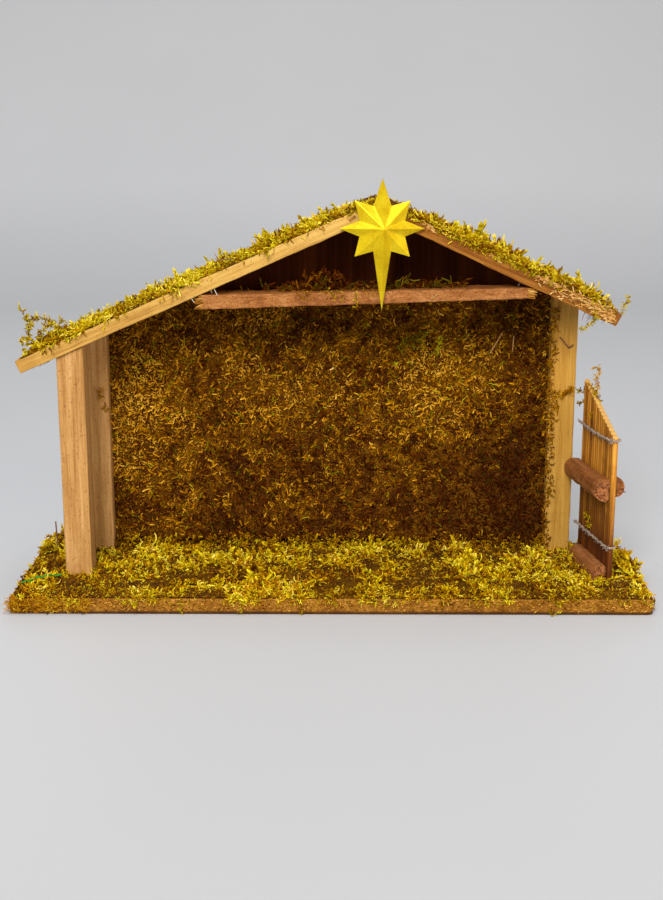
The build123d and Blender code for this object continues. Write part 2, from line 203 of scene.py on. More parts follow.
def speckle(tree, place, scale, detail=4.0, rough=0.6, warp=0.0):
    """A noise value."""
    values = {"Vector": place, "Scale": scale, "Detail": detail, "Roughness": rough, "Distortion": warp}
    return add(tree, "TexNoise", values).outputs[0]


def shades(tree, value, stops):
    """Colours along a value, as (place, colour) stops."""
    made = add(tree, "ValToRGB", {0: value})
    ramp = made.color_ramp
    while len(ramp.elements) < len(stops):
        ramp.elements.new(1.0)
    for element, (place, colour) in zip(ramp.elements, stops):
        element.position = place
        element.color = (*colour, 1.0)
    return made.outputs[0]


def layer(tree, way, amount, below, above):
    """One colour laid over another."""
    made = add(tree, "Mix", {0: amount, 6: below, 7: above}, data_type="RGBA", blend_type=way)
    return made.outputs[2]


def tinted(tree, amount, colour, tint):
    """A colour multiplied by a tint, as far as the amount goes."""
    return layer(tree, "MULTIPLY", amount, colour, (*tint, 1.0))


def relief(tree, height, strength, depth):
    """Fine relief from a height value."""
    return add(tree, "Bump", {"Height": height, "Strength": strength, "Distance": depth}).outputs[0]


# Finishes


def wood_finish(name, tones, stretch, turn=(0, 0, 0), fibre=700.0, stain=0.35, groove=0.35, shine=0.18,
                fleck=0.66):
    """Sawn wood: bands and fibres along the grain, fine pores, faint stains, dark flecks."""
    finish, tree, shader = new_finish(name)
    dark, middle, light = tones
    grain = stretched(tree, turn, stretch)
    plain = own_place(tree)
    bands = speckle(tree, grain, fibre * 0.16, 3.0, 0.55, 0.7)
    fibres = speckle(tree, grain, fibre, 5.0, 0.68, 0.3)
    both = blend(tree, 0.48, bands, fibres)
    colour = shades(tree, both, [(0.30, dark), (0.47, middle), (0.66, light)])
    pores = ease(tree, speckle(tree, grain, fibre * 2.3, 2.0, 0.5), 0.60, 0.74, 0.0, 0.5)
    colour = tinted(tree, pores, colour, (0.42, 0.30, 0.20))
    stains = ease(tree, speckle(tree, plain, 42.0), 0.52, 0.78, 0.0, stain)
    colour = tinted(tree, stains, colour, (0.55, 0.40, 0.26))
    specks = ease(tree, speckle(tree, plain, 1300.0, 2.0), fleck, fleck + 0.08, 0.0, 0.7)
    colour = tinted(tree, specks, colour, (0.30, 0.17, 0.08))
    feed(tree, shader, {
        "Base Color": colour,
        "Roughness": ease(tree, fibres, 0.3, 0.7, 0.78, 0.60),
        "Normal": relief(tree, both, groove, 0.0005),
        "Specular IOR Level": shine})
    return finish


def reed_finish(name, dark, middle, light):
    """Reeds: fine grain, a tone for each reed, dirt and painted shade in the grooves between them, pale cut
    tops, painted shade towards their foot.
    """
    finish, tree, shader = new_finish(name)
    plain = own_place(tree)
    grain = speckle(tree, stretched(tree, (0, 0, 0), (1.0, 1.0, 0.02)), 1500.0, 5.0, 0.68, 0.3)
    colour = shades(tree, grain, [(0.30, dark), (0.48, middle), (0.66, light)])
    forward = FENCE_FORWARD / (REED_PITCH * MM)
    count = figure(tree, "SUBTRACT", dot(tree, plain, forward), FENCE_REAR.dot(forward) * MM - 0.5)
    own = add(tree, "TexWhiteNoise", {"W": figure(tree, "FLOOR", count)}, noise_dimensions="1D").outputs[0]
    own_tone = shades(tree, own, [(0.0, (0.46, 0.38, 0.26)), (1.0, (1.12, 1.1, 1.05))])
    colour = layer(tree, "MULTIPLY", 1.0, colour, own_tone)
    # Dirt and painted shade: each reed darkens towards the grooves between the reeds.
    off_middle = figure(tree, "ABSOLUTE", figure(tree, "SUBTRACT", figure(tree, "FRACT", count), 0.5))
    between = figure(tree, "MULTIPLY", figure(tree, "GREATER_THAN", count, 0.5),
                     figure(tree, "LESS_THAN", count, REED_COUNT - 0.5))
    grime_and_groove_shade = figure(tree, "MULTIPLY", between, ease(tree, off_middle, 0.27, 0.47, 0.0, 0.9))
    colour = tinted(tree, grime_and_groove_shade, colour, (0.10, 0.05, 0.02))
    stains = ease(tree, speckle(tree, plain, 90.0), 0.5, 0.7, 0.0, 0.6)
    colour = tinted(tree, stains, colour, (0.45, 0.32, 0.18))
    # Painted shade: the reeds darken towards their foot.
    foot = ease(tree, part_of(tree, plain, 2), 0.025, 0.07, 0.95, 0.0)
    colour = tinted(tree, foot, colour, (0.19, 0.085, 0.02))
    slant = FENCE_FORWARD * sin(FENCE_SLOPE) + UP * cos(FENCE_SLOPE)
    top = slant.dot(FENCE_REAR + UP * FENCE_REAR_TOP) * MM
    under_top = figure(tree, "SUBTRACT", dot(tree, plain, slant), top)
    cut_face = ease(tree, under_top, -0.0004, -0.0001, 0.0, 0.8)
    colour = layer(tree, "MIX", cut_face, colour, (0.66, 0.40, 0.12, 1.0))
    feed(tree, shader, {
        "Base Color": colour,
        "Normal": relief(tree, grain, 0.4, 0.0003),
        "Roughness": 0.6,
        "Specular IOR Level": 0.2})
    return finish


def fibreboard_finish(name):
    """Pressed fibreboard: short tangled fibres with light and dark flecks, and painted shade along its foot.
    """
    finish, tree, shader = new_finish(name)
    plain = own_place(tree)
    fibres = speckle(tree, stretched(tree, (0, 0, 0), (0.55, 0.6, 1.0)), 1700.0, 6.0, 0.75, 0.8)
    both = blend(tree, 0.45, fibres, speckle(tree, plain, 120.0, 4.0, 0.6, 0.4))
    colour = shades(tree, both, [(0.33, (0.08, 0.026, 0.002)), (0.48, (0.24, 0.095, 0.007)),
                                 (0.60, (0.40, 0.19, 0.025)), (0.72, (0.56, 0.32, 0.07))])
    # Painted shade: the lowest two millimetres darken as if in shadow under the board.
    foot = ease(tree, part_of(tree, plain, 2), 0.0010, 0.0022, 0.9, 0.0)
    feed(tree, shader, {
        "Base Color": tinted(tree, foot, colour, (0.12, 0.08, 0.05)),
        "Normal": relief(tree, both, 0.6, 0.0008),
        "Roughness": 0.85,
        "Specular IOR Level": 0.2})
    return finish


def moss_finish(name, tones, foot, tip):
    """Dried moss: each sprig takes its tone across the map, with painted shade at its foot that gives way to
    painted light at its tip.
    """
    finish, tree, shader = new_finish(name)
    spot = add(tree, "SeparateXYZ", {0: add(tree, "UVMap", {}, uv_map="OFBake").outputs[0]})
    colour = shades(tree, spot.outputs[0], tones)
    # Painted shade: darkest at a sprig's foot; painted light: above one at its tip.
    depth = shades(tree, spot.outputs[1], [(0.0, foot), (0.5, (0.82, 0.81, 0.76)), (1.0, tip)])
    feed(tree, shader, {
        "Base Color": layer(tree, "MULTIPLY", 1.0, colour, depth),
        "Roughness": 0.75,
        "Specular IOR Level": 0.03})
    return finish


def mat_finish(name, dark, middle, light):
    """The shaded bed under the sprigs."""
    finish, tree, shader = new_finish(name)
    place = own_place(tree)
    tangle = speckle(tree, place, 900.0, 6.0, 0.75, 1.2)
    both = blend(tree, 0.4, tangle, speckle(tree, place, 70.0, 3.0, 0.6, 0.5))
    feed(tree, shader, {
        "Base Color": shades(tree, both, [(0.36, dark), (0.5, middle), (0.64, light)]),
        "Normal": relief(tree, tangle, 0.9, 0.0012),
        "Roughness": 0.9,
        "Specular IOR Level": 0.1})
    return finish


def star_finish(name):
    """Satin gold paint with a fine grain and rubbed places."""
    finish, tree, shader = new_finish(name)
    place = own_place(tree)
    grain = speckle(tree, place, 1500.0, 3.0)
    cloud = speckle(tree, place, 90.0, 4.0, 0.6, 0.4)
    stops = [(0.33, (0.52, 0.31, 0.002)), (0.5, (0.68, 0.49, 0.004)), (0.68, (0.80, 0.64, 0.02))]
    feed(tree, shader, {
        "Base Color": shades(tree, blend(tree, 0.5, grain, cloud), stops),
        "Roughness": ease(tree, cloud, 0.3, 0.7, 0.34, 0.48),
        "Normal": relief(tree, grain, 0.25, 0.0002),
        "Metallic": 0.42,
        "Specular IOR Level": 0.2})
    return finish


def plain_finish(name, dark, light, scale, rough, metallic=0.0):
    """A small plain thing with a mottled colour."""
    finish, tree, shader = new_finish(name)
    mottle = speckle(tree, own_place(tree), scale, 4.0, 0.65)
    feed(tree, shader, {
        "Base Color": shades(tree, mottle, [(0.35, dark), (0.65, light)]),
        "Normal": relief(tree, mottle, 0.4, 0.0003),
        "Roughness": rough,
        "Metallic": metallic})
    return finish


def paper_finish(name):
    """Backdrop paper with painted shade towards the camera and high up, and painted light in its bend."""
    finish, tree, shader = new_finish(name)
    place = own_place(tree)
    stops = [(0.3, (0.515, 0.541, 0.592)), (0.7, (0.528, 0.554, 0.606))]
    colour = shades(tree, speckle(tree, place, 3.0, 2.0), stops)
    # Painted shade and light: darker towards the camera and high up, lighter low in the bend.
    for axis, start, end, tint in ((1, -0.1, -0.5, 0.82), (2, 0.0, 0.15, 1.12), (2, 0.15, 0.6, 0.86)):
        share = ease(tree, part_of(tree, place, axis), start, end, 0.0, 1.0)
        colour = tinted(tree, share, colour, (tint, tint, tint))
    feed(tree, shader, {"Base Color": colour, "Roughness": 0.5})
    return finish


UPRIGHT_GRAIN = (1.0, 1.0, 0.045)
LEVEL_GRAIN = (0.045, 1.0, 1.0)
right_post_wood = wood_finish(
    "right_post_wood", ((0.215, 0.084, 0.006), (0.41, 0.205, 0.028), (0.58, 0.342, 0.068)), UPRIGHT_GRAIN,
    stain=0.5)
post_wood = wood_finish(
    "post_wood", ((0.27, 0.112, 0.022), (0.455, 0.242, 0.076), (0.66, 0.405, 0.175)), UPRIGHT_GRAIN,
    fleck=0.61)
left_roof_wood = wood_finish(
    "left_roof_wood", ((0.28, 0.118, 0.018), (0.495, 0.282, 0.06), (0.66, 0.435, 0.12)), LEVEL_GRAIN,
    turn=(0, LEFT_PITCH, 0), stain=0.45, fleck=0.61)
right_roof_wood = wood_finish(
    "right_roof_wood", ((0.11, 0.030, 0.002), (0.205, 0.066, 0.004), (0.39, 0.165, 0.018)), LEVEL_GRAIN,
    turn=(0, -RIGHT_PITCH, 0), stain=0.5, groove=0.5, fleck=0.6)
tie_wood = wood_finish(
    "tie_wood", ((0.10, 0.025, 0.004), (0.285, 0.102, 0.022), (0.48, 0.22, 0.068)), (0.3, 1.0, 1.0),
    fibre=900.0, stain=0.7, groove=0.7, fleck=0.56)
# Dark wood for the back panel, darkened further as painted shade of the gable under the roof.
panel_wood = wood_finish(
    "panel_wood", ((0.016, 0.0025, 0.0002), (0.038, 0.007, 0.0006), (0.075, 0.017, 0.0018)),
    (1.0, 1.0, 0.02), fibre=420.0, stain=0.5, groove=0.5, shine=0.04)
rail_bark = wood_finish(
    "rail_bark", ((0.07, 0.020, 0.004), (0.25, 0.085, 0.020), (0.44, 0.185, 0.062)), (1.0, 0.05, 1.0),
    turn=(0, 0, -FENCE_TURN), fibre=1000.0, stain=0.5, groove=0.7)
reed_skin = reed_finish("reed_skin", (0.22, 0.080, 0.006), (0.50, 0.205, 0.018), (0.74, 0.37, 0.06))
base_fibre = fibreboard_finish("base_fibre")
star_gold = star_finish("star_gold")
glue_white = plain_finish("glue_white", (0.62, 0.60, 0.52), (0.80, 0.78, 0.70), 400.0, 0.35)
nail_steel = plain_finish("nail_steel", (0.22, 0.20, 0.19), (0.46, 0.45, 0.44), 900.0, 0.42, 1.0)
twine_fibre = plain_finish("twine_fibre", (0.12, 0.07, 0.045), (0.50, 0.40, 0.33), 1300.0, 0.9)
dyed_fibre = plain_finish("dyed_fibre", (0.001, 0.10, 0.006), (0.010, 0.42, 0.025), 1300.0, 0.8)
straw_skin = plain_finish("straw_skin", (0.20, 0.085, 0.018), (0.52, 0.30, 0.09), 900.0, 0.8)
twig_bark = plain_finish("twig_bark", (0.07, 0.026, 0.010), (0.26, 0.11, 0.045), 900.0, 0.9)
green_bed = mat_finish("green_bed", (0.022, 0.007, 0.001), (0.09, 0.034, 0.001), (0.25, 0.115, 0.002))
brown_bed = mat_finish("brown_bed", (0.013, 0.0035, 0.0005), (0.075, 0.021, 0.001), (0.26, 0.11, 0.003))
# In each moss tone, foot is the painted shade at a sprig's foot and tip is the painted light at its tip.
roof_moss_tone = moss_finish("roof_moss_tone", [
    (0.0, (0.09, 0.030, 0.0005)), (0.18, (0.27, 0.105, 0.001)), (0.36, (0.34, 0.205, 0.0008)),
    (0.56, (0.54, 0.415, 0.004)), (0.82, (0.79, 0.66, 0.030)), (1.0, (0.85, 0.65, 0.11))],
    foot=(0.24, 0.17, 0.11), tip=(1.2, 1.17, 1.05))
floor_moss_tone = moss_finish("floor_moss_tone", [
    (0.0, (0.05, 0.014, 0.0005)), (0.18, (0.20, 0.068, 0.001)), (0.36, (0.36, 0.178, 0.0008)),
    (0.55, (0.52, 0.340, 0.002)), (0.7, (0.61, 0.50, 0.008)), (0.88, (0.78, 0.66, 0.040)),
    (1.0, (0.82, 0.59, 0.12))],
    foot=(0.22, 0.16, 0.10), tip=(1.36, 1.32, 1.24))
straw_tone = moss_finish("straw_tone", [
    (0.0, (0.07, 0.022, 0.001)), (0.2, (0.24, 0.085, 0.002)), (0.42, (0.48, 0.20, 0.004)),
    (0.62, (0.62, 0.33, 0.005)), (0.82, (0.74, 0.47, 0.010)), (1.0, (0.82, 0.58, 0.07))],
    foot=(0.5, 0.42, 0.3), tip=(1.1, 1.08, 1.0))
wall_moss_tone = moss_finish("wall_moss_tone", [
    (0.0, (0.024, 0.004, 0.0004)), (0.18, (0.105, 0.022, 0.0004)), (0.34, (0.20, 0.062, 0.0005)),
    (0.48, (0.26, 0.136, 0.0006)), (0.62, (0.43, 0.167, 0.002)), (0.82, (0.60, 0.295, 0.006)),
    (1.0, (0.78, 0.47, 0.05))],
    foot=(0.72, 0.65, 0.52), tip=(1.16, 1.14, 1.05))
wall_green_tone = moss_finish("wall_green_tone", [
    (0.0, (0.035, 0.022, 0.0005)), (0.35, (0.12, 0.095, 0.0006)), (0.6, (0.25, 0.215, 0.001)),
    (0.82, (0.40, 0.36, 0.003)), (1.0, (0.62, 0.54, 0.02))],
    foot=(0.75, 0.7, 0.6), tip=(1.1, 1.1, 1.0))
fibre_tone = moss_finish("fibre_tone", [
    (0.0, (0.04, 0.012, 0.001)), (0.3, (0.20, 0.070, 0.003)), (0.6, (0.44, 0.19, 0.012)),
    (1.0, (0.80, 0.46, 0.08))],
    foot=(0.75, 0.7, 0.6), tip=(1.05, 1.02, 1.0))
crumb_tone = moss_finish("crumb_tone", [
    (0.0, (0.06, 0.014, 0.004)), (0.4, (0.24, 0.075, 0.03)), (0.75, (0.44, 0.18, 0.085)),
    (1.0, (0.66, 0.36, 0.22))],
    foot=(0.5, 0.45, 0.4), tip=(1.1, 1.05, 1.0))
splinter_tone = moss_finish("splinter_tone", [
    (0.0, (0.10, 0.03, 0.003)), (0.45, (0.38, 0.16, 0.02)), (0.75, (0.70, 0.39, 0.11)),
    (1.0, (0.90, 0.62, 0.27))],
    foot=(0.75, 0.7, 0.6), tip=(1.05, 1.02, 1.0))
fray_tone = moss_finish("fray_tone", [
    (0.0, (0.12, 0.06, 0.035)), (0.5, (0.36, 0.28, 0.22)), (1.0, (0.66, 0.58, 0.51))],
    foot=(0.8, 0.78, 0.75), tip=(1.05, 1.05, 1.05))


# Camera, light and stage
camera = bpy.data.objects.new("camera", bpy.data.cameras.new("camera"))
camera.data.lens = 53.78
camera.location = (0.004594, -0.698655, 0.242028)
camera.rotation_euler = (radians(90.0 - 13.347), 0.0, radians(0.388))
scene.collection.objects.link(camera)
scene.camera = camera
scene.view_settings.view_transform = "Standard"


def soft_light(name, place, aim, size, power, tone):
    """A square lamp turned towards a place, in metres and watts."""
    lamp = bpy.data.objects.new(name, bpy.data.lights.new(name, "AREA"))
    lamp.data.size = size
    lamp.data.energy = power
    lamp.data.color = tone
    lamp.location = place
    lamp.rotation_euler = (Vector(aim) - Vector(place)).to_track_quat("-Z", "Y").to_euler()
    scene.collection.objects.link(lamp)


soft_light("key_light", (-0.45, -2.48, 1.76), (0.0, 0.0, 0.09), 1.2, 98.0, (1.0, 0.965, 0.90))
soft_light("fill_light", (1.6, -1.8, 0.8), (0.0, 0.0, 0.09), 1.6, 20.0, (1.0, 0.80, 0.56))
soft_light("top_light", (0.0, -0.1, 2.2), (0.0, 0.0, 0.0), 1.8, 18.0, (1.0, 0.975, 0.93))
world = bpy.data.worlds.new("studio")
world.use_nodes = True
world.node_tree.nodes["Background"].inputs["Color"].default_value = (1.0, 0.955, 0.89, 1.0)
world.node_tree.nodes["Background"].inputs["Strength"].default_value = 0.32
scene.world = world


def verts_of(made):
    """The vertices among an operator's new geometry."""
    return [item for item in made if isinstance(item, bmesh.types.BMVert)]


def stand_backdrop(half_width=4.0, front=-3.0, rear=1.2, bend=0.9, rise=3.0):
    """A paper sweep, in metres: a floor that bends up into a wall behind."""
    sweep = bmesh.new()
    middle = Matrix.Translation((0, (front + rear) / 2, 0))
    bmesh.ops.create_grid(sweep, x_segments=1, y_segments=1, size=1.0,
                          matrix=middle @ Matrix.Diagonal((half_width, (rear - front) / 2, 1.0, 1.0)))
    rear_edge = max(sweep.edges, key=lambda edge: edge.verts[0].co.y + edge.verts[1].co.y)
    bmesh.ops.spin(sweep, geom=[rear_edge, *rear_edge.verts], cent=(0, rear, bend), axis=(1, 0, 0),
                   angle=radians(90), steps=16)
    upper_edge = max(sweep.edges, key=lambda edge: edge.verts[0].co.z + edge.verts[1].co.z)
    wall = bmesh.ops.extrude_edge_only(sweep, edges=[upper_edge])["geom"]
    bmesh.ops.translate(sweep, vec=(0, 0, rise), verts=verts_of(wall))
    bmesh.ops.recalc_face_normals(sweep, faces=sweep.faces)
    for face in sweep.faces:
        face.smooth = True
    mesh = bpy.data.meshes.new("backdrop")
    sweep.to_mesh(mesh)
    sweep.free()
    mesh.materials.append(paper_finish("backdrop_paper"))
    backdrop = bpy.data.objects.new("backdrop", mesh)
    scene.collection.objects.link(backdrop)


stand_backdrop()

# Finishes of the frame's own pieces
for finish, coated in (
        (base_fibre, ["base_board"]),
        (post_wood, ["left_front_post", "left_rear_post"]),
        (right_post_wood, [RIGHT_POST]),
        (panel_wood, ["back_panel"]),
        (left_roof_wood, ["left_roof_board"]),
        (right_roof_wood, ["right_roof_board"]),
        (tie_wood, ["tie_beam"]),
        (glue_white, ["star_glue"]),
        (reed_skin, [f"fence_reed_{number + 1:02d}" for number in range(REED_COUNT)]),
        (rail_bark, ["fence_upper_inner_rail", "fence_upper_outer_rail", "fence_lower_inner_rail"]),
        (twine_fibre, ["fence_upper_twine", "fence_lower_twine"]),
        (nail_steel, ["post_nails", "roof_nails", "tie_nails", "panel_nails"])):
    for node in coated:
        nodes[node].data.materials.clear()
        nodes[node].data.materials.append(finish)


# Pieces


def settle(name, data, finish, replaced):
    """A finished mesh or curve as a piece of the stable."""
    data.materials.append(finish)
    piece = bpy.data.objects.new(name, data)
    scene.collection.objects.link(piece)
    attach(piece, "root")
    if replaced:
        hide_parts(*replaced)


def show(name, shape, finish, replaced=()):
    """A finished shape as a piece of the stable."""
    mesh = bpy.data.meshes.new(name)
    shape.to_mesh(mesh)
    shape.free()
    settle(name, mesh, finish, replaced)


def merged_copy(node):
    """A copy of a piece of the frame, with its loose triangles joined."""
    shape = bmesh.new()
    shape.from_mesh(nodes[node].data)
    bmesh.ops.remove_doubles(shape, verts=shape.verts, dist=1e-6)
    return shape


# Sawn wood


def everything(shape):
    """All the geometry of a shape."""
    return [*shape.verts, *shape.edges, *shape.faces]


def block(place, size, turn=None):
    """A box about its middle, in millimetres."""
    shape = bmesh.new()
    stand = Matrix.Translation(Vector(place) * MM) @ (turn or Matrix.Identity(4))
    bmesh.ops.create_cube(shape, size=1.0, matrix=stand @ Matrix.Diagonal((*(Vector(size) * MM), 1.0)))
    return shape


def cut_off(shape, point, outward):
    """Take off what lies outside a plane, and close the cut."""
    made = bmesh.ops.bisect_plane(shape, geom=everything(shape), plane_co=Vector(point) * MM,
                                  plane_no=outward, clear_outer=True)
    rim = [item for item in made["geom_cut"] if isinstance(item, bmesh.types.BMEdge)]
    bmesh.ops.edgeloop_fill(shape, edges=rim)


def ease_edges(shape, width):
    """Round the sharp edges."""
    sharp = [edge for edge in shape.edges if edge.is_manifold and edge.calc_face_angle() > radians(40)]
    bmesh.ops.bevel(shape, geom=sharp, offset=width * MM, segments=2, profile=0.5, affect="EDGES",
                    material=-1)


def cross_cuts(shape, start, step, count):
    """Cut a shape across at equal steps, so that it can be worn."""
    for number in range(count):
        bmesh.ops.bisect_plane(shape, geom=everything(shape), plane_co=(Vector(start) + step * number) * MM,
                               plane_no=step)


def wear(shape, depth, scale, seed):
    """Uneven, hand-worn surface."""
    shape.normal_update()
    shift = Vector((seed, 2.0 * seed, 0.0))
    moved = [corner.co + corner.normal * (depth * MM * noise.noise(corner.co * scale + shift))
             for corner in shape.verts]
    for corner, place in zip(shape.verts, moved):
        corner.co = place


def roof_normal(x):
    """Outward direction of the roof's slope."""
    slope = -tan(LEFT_PITCH) if x < RIDGE_X else tan(RIGHT_PITCH)
    return Vector((slope, 0.0, 1.0)).normalized()


def worn_post(post, finish, seed):
    """A square post with worn sides, cut off along the roof's slope."""
    left, front = POSTS[post]
    tall = underside(left + POST) + 8.0
    middle = (left + POST / 2, front + POST / 2, (BASE_TOP + tall) / 2)
    shape = block(middle, (POST, POST, tall - BASE_TOP))
    cut_off(shape, (left, 0.0, underside(left)), roof_normal(left))
    ease_edges(shape, 0.7)
    cross_cuts(shape, (0.0, 0.0, BASE_TOP + 3.0), UP * 4.0, 42)
    wear(shape, 0.22, 110.0, seed)
    show(post + "_worn", shape, finish, (post,))


def worn_roof_board(node, eave, pitch, finish, depth):
    """A roof board with worn faces, cut off upright at the ridge."""
    inward = 1.0 if eave < RIDGE_X else -1.0
    along = Vector((inward * cos(pitch), 0.0, sin(pitch)))
    low = Vector((eave, (ROOF_FRONT + ROOF_REAR) / 2, underside(eave)))
    length = abs(RIDGE_X - eave) / cos(pitch) + 6.0
    middle = low + along * (length / 2) + roof_normal(eave) * (ROOF_THICK / 2)
    size = (length, ROOF_REAR - ROOF_FRONT, ROOF_THICK)
    shape = block(middle, size, Matrix.Rotation(-inward * pitch, 4, "Y"))
    cut_off(shape, (RIDGE_X, 0.0, 0.0), RIGHT * inward)
    ease_edges(shape, 0.5)
    cross_cuts(shape, low + along * 2.0, along * 3.0, int(length / 3.0))
    wear(shape, depth, 130.0, 5.0 + eave)
    show(node + "_worn", shape, finish, (node,))


def worn_tie_beam():
    """The rough stick across the gable, taller at its left end."""
    left_top = Vector((TIE_LEFT, 0.0, underside(TIE_LEFT)))
    right_top = Vector((TIE_RIGHT, 0.0, underside(TIE_RIGHT)))
    left_low = left_top - UP * TIE_LEFT_HEIGHT
    right_low = right_top - UP * TIE_RIGHT_HEIGHT
    middle = (left_top + right_low) / 2
    middle.y = TIE_FRONT + TIE_DEPTH / 2
    shape = block(middle, (TIE_RIGHT - TIE_LEFT, TIE_DEPTH, 30.0))
    upper_run = right_top - left_top
    lower_run = right_low - left_low
    cut_off(shape, left_top, Vector((-upper_run.z, 0.0, upper_run.x)))
    cut_off(shape, left_low, Vector((lower_run.z, 0.0, -lower_run.x)))
    ease_edges(shape, 0.6)
    cross_cuts(shape, (TIE_LEFT + 2.0, 0.0, 0.0), RIGHT * 3.0, 56)
    wear(shape, 0.5, 260.0, 21.0)
    show("tie_beam_worn", shape, tie_wood, ("tie_beam",))


def star_moulding():
    """The frame's star, cut finer and rounded along its ridges, with a sharp rim."""
    shape = merged_copy("star")
    for _ in range(4):
        bmesh.ops.subdivide_edges(shape, edges=shape.edges, cuts=1, use_grid_fill=True)
    rim = set()
    for edge in shape.edges:
        if edge.calc_face_angle(0.0) > radians(55):
            edge.smooth = False
            rim.update(edge.verts)
    for _ in range(2):
        inner = [corner for corner in shape.verts if corner not in rim]
        bmesh.ops.smooth_vert(shape, verts=inner, factor=0.5, use_axis_x=True, use_axis_y=True,
                              use_axis_z=True)
    for face in shape.faces:
        face.smooth = True
    show("star_moulding", shape, star_gold, ("star",))


for number, post in enumerate(POSTS):
    worn_post(post, right_post_wood if post == RIGHT_POST else post_wood, 3.0 * number)
worn_roof_board("left_roof_board", LEFT_EAVE, LEFT_PITCH, left_roof_wood, 0.35)
worn_roof_board("right_roof_board", RIGHT_EAVE, RIGHT_PITCH, right_roof_wood, 0.7)
worn_tie_beam()
star_moulding()

# Moss sprigs, each about its foot and growing up Z
TONES = 16
SHAPES = 9
OWN_SHADE = 1.2  # spread of the tones between the strands of a sprig
MOTTLE = 1.0  # spread of the tones within one strand


def any_spin():
    """A turn all the way round."""
    return chance.uniform(0, 2 * pi)


def any_axis(tilt):
    """A direction that is nearly level, or less so with more tilt."""
    return Vector((chance.uniform(-1, 1), chance.uniform(-1, 1), chance.uniform(-tilt, tilt))).normalized()


def grow_strand(shape, start, heading, axis, turns, length, width, flat, tip_width):
    """A curled, tapering three-sided strand with its own tone, closed at both ends; gives its course."""
    along = shape.verts.layers.float["along"]
    shade = shape.verts.layers.float["shade"]
    own_shade = chance.gauss(0.0, OWN_SHADE)
    heading = heading.normalized()
    stand = Matrix.Translation(start) @ heading.to_track_quat("Z", "Y").to_matrix().to_4x4()
    ring = bmesh.ops.create_circle(shape, cap_ends=True, segments=3, radius=width * MM / 2,
                                   matrix=stand @ Matrix.Diagonal((1.0, flat, 1.0, 1.0)))["verts"]
    for corner in ring:
        corner[shade] = own_shade + chance.gauss(0.0, MOTTLE)
    tip = ring[0].link_faces[0]
    centre = Vector(start)
    stride = length * MM / len(turns)
    course = []
    for step, turn in enumerate(turns):
        swing = Quaternion(axis, turn)
        grown = bmesh.ops.extrude_face_region(shape, geom=[tip, *tip.edges])["geom"]
        ring = verts_of(grown)
        tip = [item for item in grown if isinstance(item, bmesh.types.BMFace)][0]
        heading.rotate(swing)
        centre = centre + heading * stride
        bmesh.ops.translate(shape, vec=heading * stride, verts=ring)
        bmesh.ops.rotate(shape, cent=centre, matrix=swing.to_matrix(), verts=ring)
        narrow = 0.92 if step < len(turns) - 1 else tip_width
        bmesh.ops.scale(shape, vec=(narrow,) * 3, space=Matrix.Translation(-centre), verts=ring)
        for corner in ring:
            corner[along] = (step + 1) / len(turns)
            corner[shade] = own_shade + chance.gauss(0.0, MOTTLE)
        course.append((centre.copy(), heading.copy()))
    return course


def frond(shape, number):
    """A feathery curl: a curled stem with a pair of broad leaves at each step."""
    curl = 0.8 + 2.8 * number / (SHAPES - 1)
    axis = any_axis(0.4)
    heading = Vector((chance.uniform(-0.3, 0.3), chance.uniform(-0.3, 0.3), 1.0))
    stem = grow_strand(shape, Vector(), heading, axis, [curl / 4] * 4, 6.4, 1.3, 0.8, 0.6)
    for foot, ahead in stem[:3]:
        for side in (-1, 1):
            leaf = ahead * chance.uniform(0.5, 1.3) + axis * side + any_axis(1.0) * 0.35
            turns = [chance.uniform(-0.3, 0.6), chance.uniform(-0.6, 0.8)]
            grow_strand(shape, foot, leaf, leaf.cross(ahead).normalized(), turns, chance.uniform(1.8, 3.2),
                        1.4, 0.55, 0.5)


def flake(shape, number):
    """One short broad leaf."""
    grow_strand(shape, Vector(), Vector((0.1, 0, 1.0)), any_axis(0.3), [chance.uniform(-0.7, 0.7)],
                1.3 + 0.16 * number, 1.25 + 0.06 * number, 0.5, 0.6)


def worm(shape, number):
    """One long curly strand that winds from side to side."""
    turns = [chance.uniform(0.5, 1.3) * (1 if (step + number) % 5 < 3 else -1) for step in range(6)]
    grow_strand(shape, Vector(), Vector((0.2, 0.1, 1.0)), any_axis(1.2), turns, 7.4, 1.0, 0.8, 0.55)


def blade(shape, number):
    """One thin, gently curved strand."""
    bend = 0.12 + 0.05 * number
    turns = [bend, bend, 1.4 * bend, -bend]
    grow_strand(shape, Vector(), Vector((0.1, 0, 1.0)), any_axis(0.5), turns, 4.5 + 0.5 * number, 0.9, 0.8,
                0.5)


def chip(shape, number):
    """One nearly straight splinter."""
    grow_strand(shape, Vector(), UP, any_axis(0.3), [0.1, 0.12], 3.5 + 0.5 * number, 0.6 + 0.06 * number,
                0.45, 0.5)


def toned(shape, tone):
    """A mesh of the sprig with its place on the tone map: tone across, height up, inside a small margin."""
    along = shape.verts.layers.float["along"]
    shade = shape.verts.layers.float["shade"]
    tint = shape.loops.layers.uv.get("OFBake") or shape.loops.layers.uv.new("OFBake")
    for face in shape.faces:
        for corner, loop in enumerate(face.loops):
            place = max(0.0, min(1.0, (tone + loop.vert[shade]) / (TONES - 1)))
            across = 0.02 if corner in (1, 2) else 0.0
            loop[tint].uv = (0.01 + 0.95 * place + across, 0.02 + 0.95 * loop.vert[along])
    mesh = bpy.data.meshes.new("sprig")
    shape.to_mesh(mesh)
    return mesh


def sprig_set(grow):
    """Sprigs of several shapes, each in every tone."""
    made = []
    for number in range(SHAPES):
        shape = bmesh.new()
        shape.verts.layers.float.new("along")
        shape.verts.layers.float.new("shade")
        grow(shape, number)
        made.append([toned(shape, tone) for tone in range(TONES)])
        shape.free()
    return made


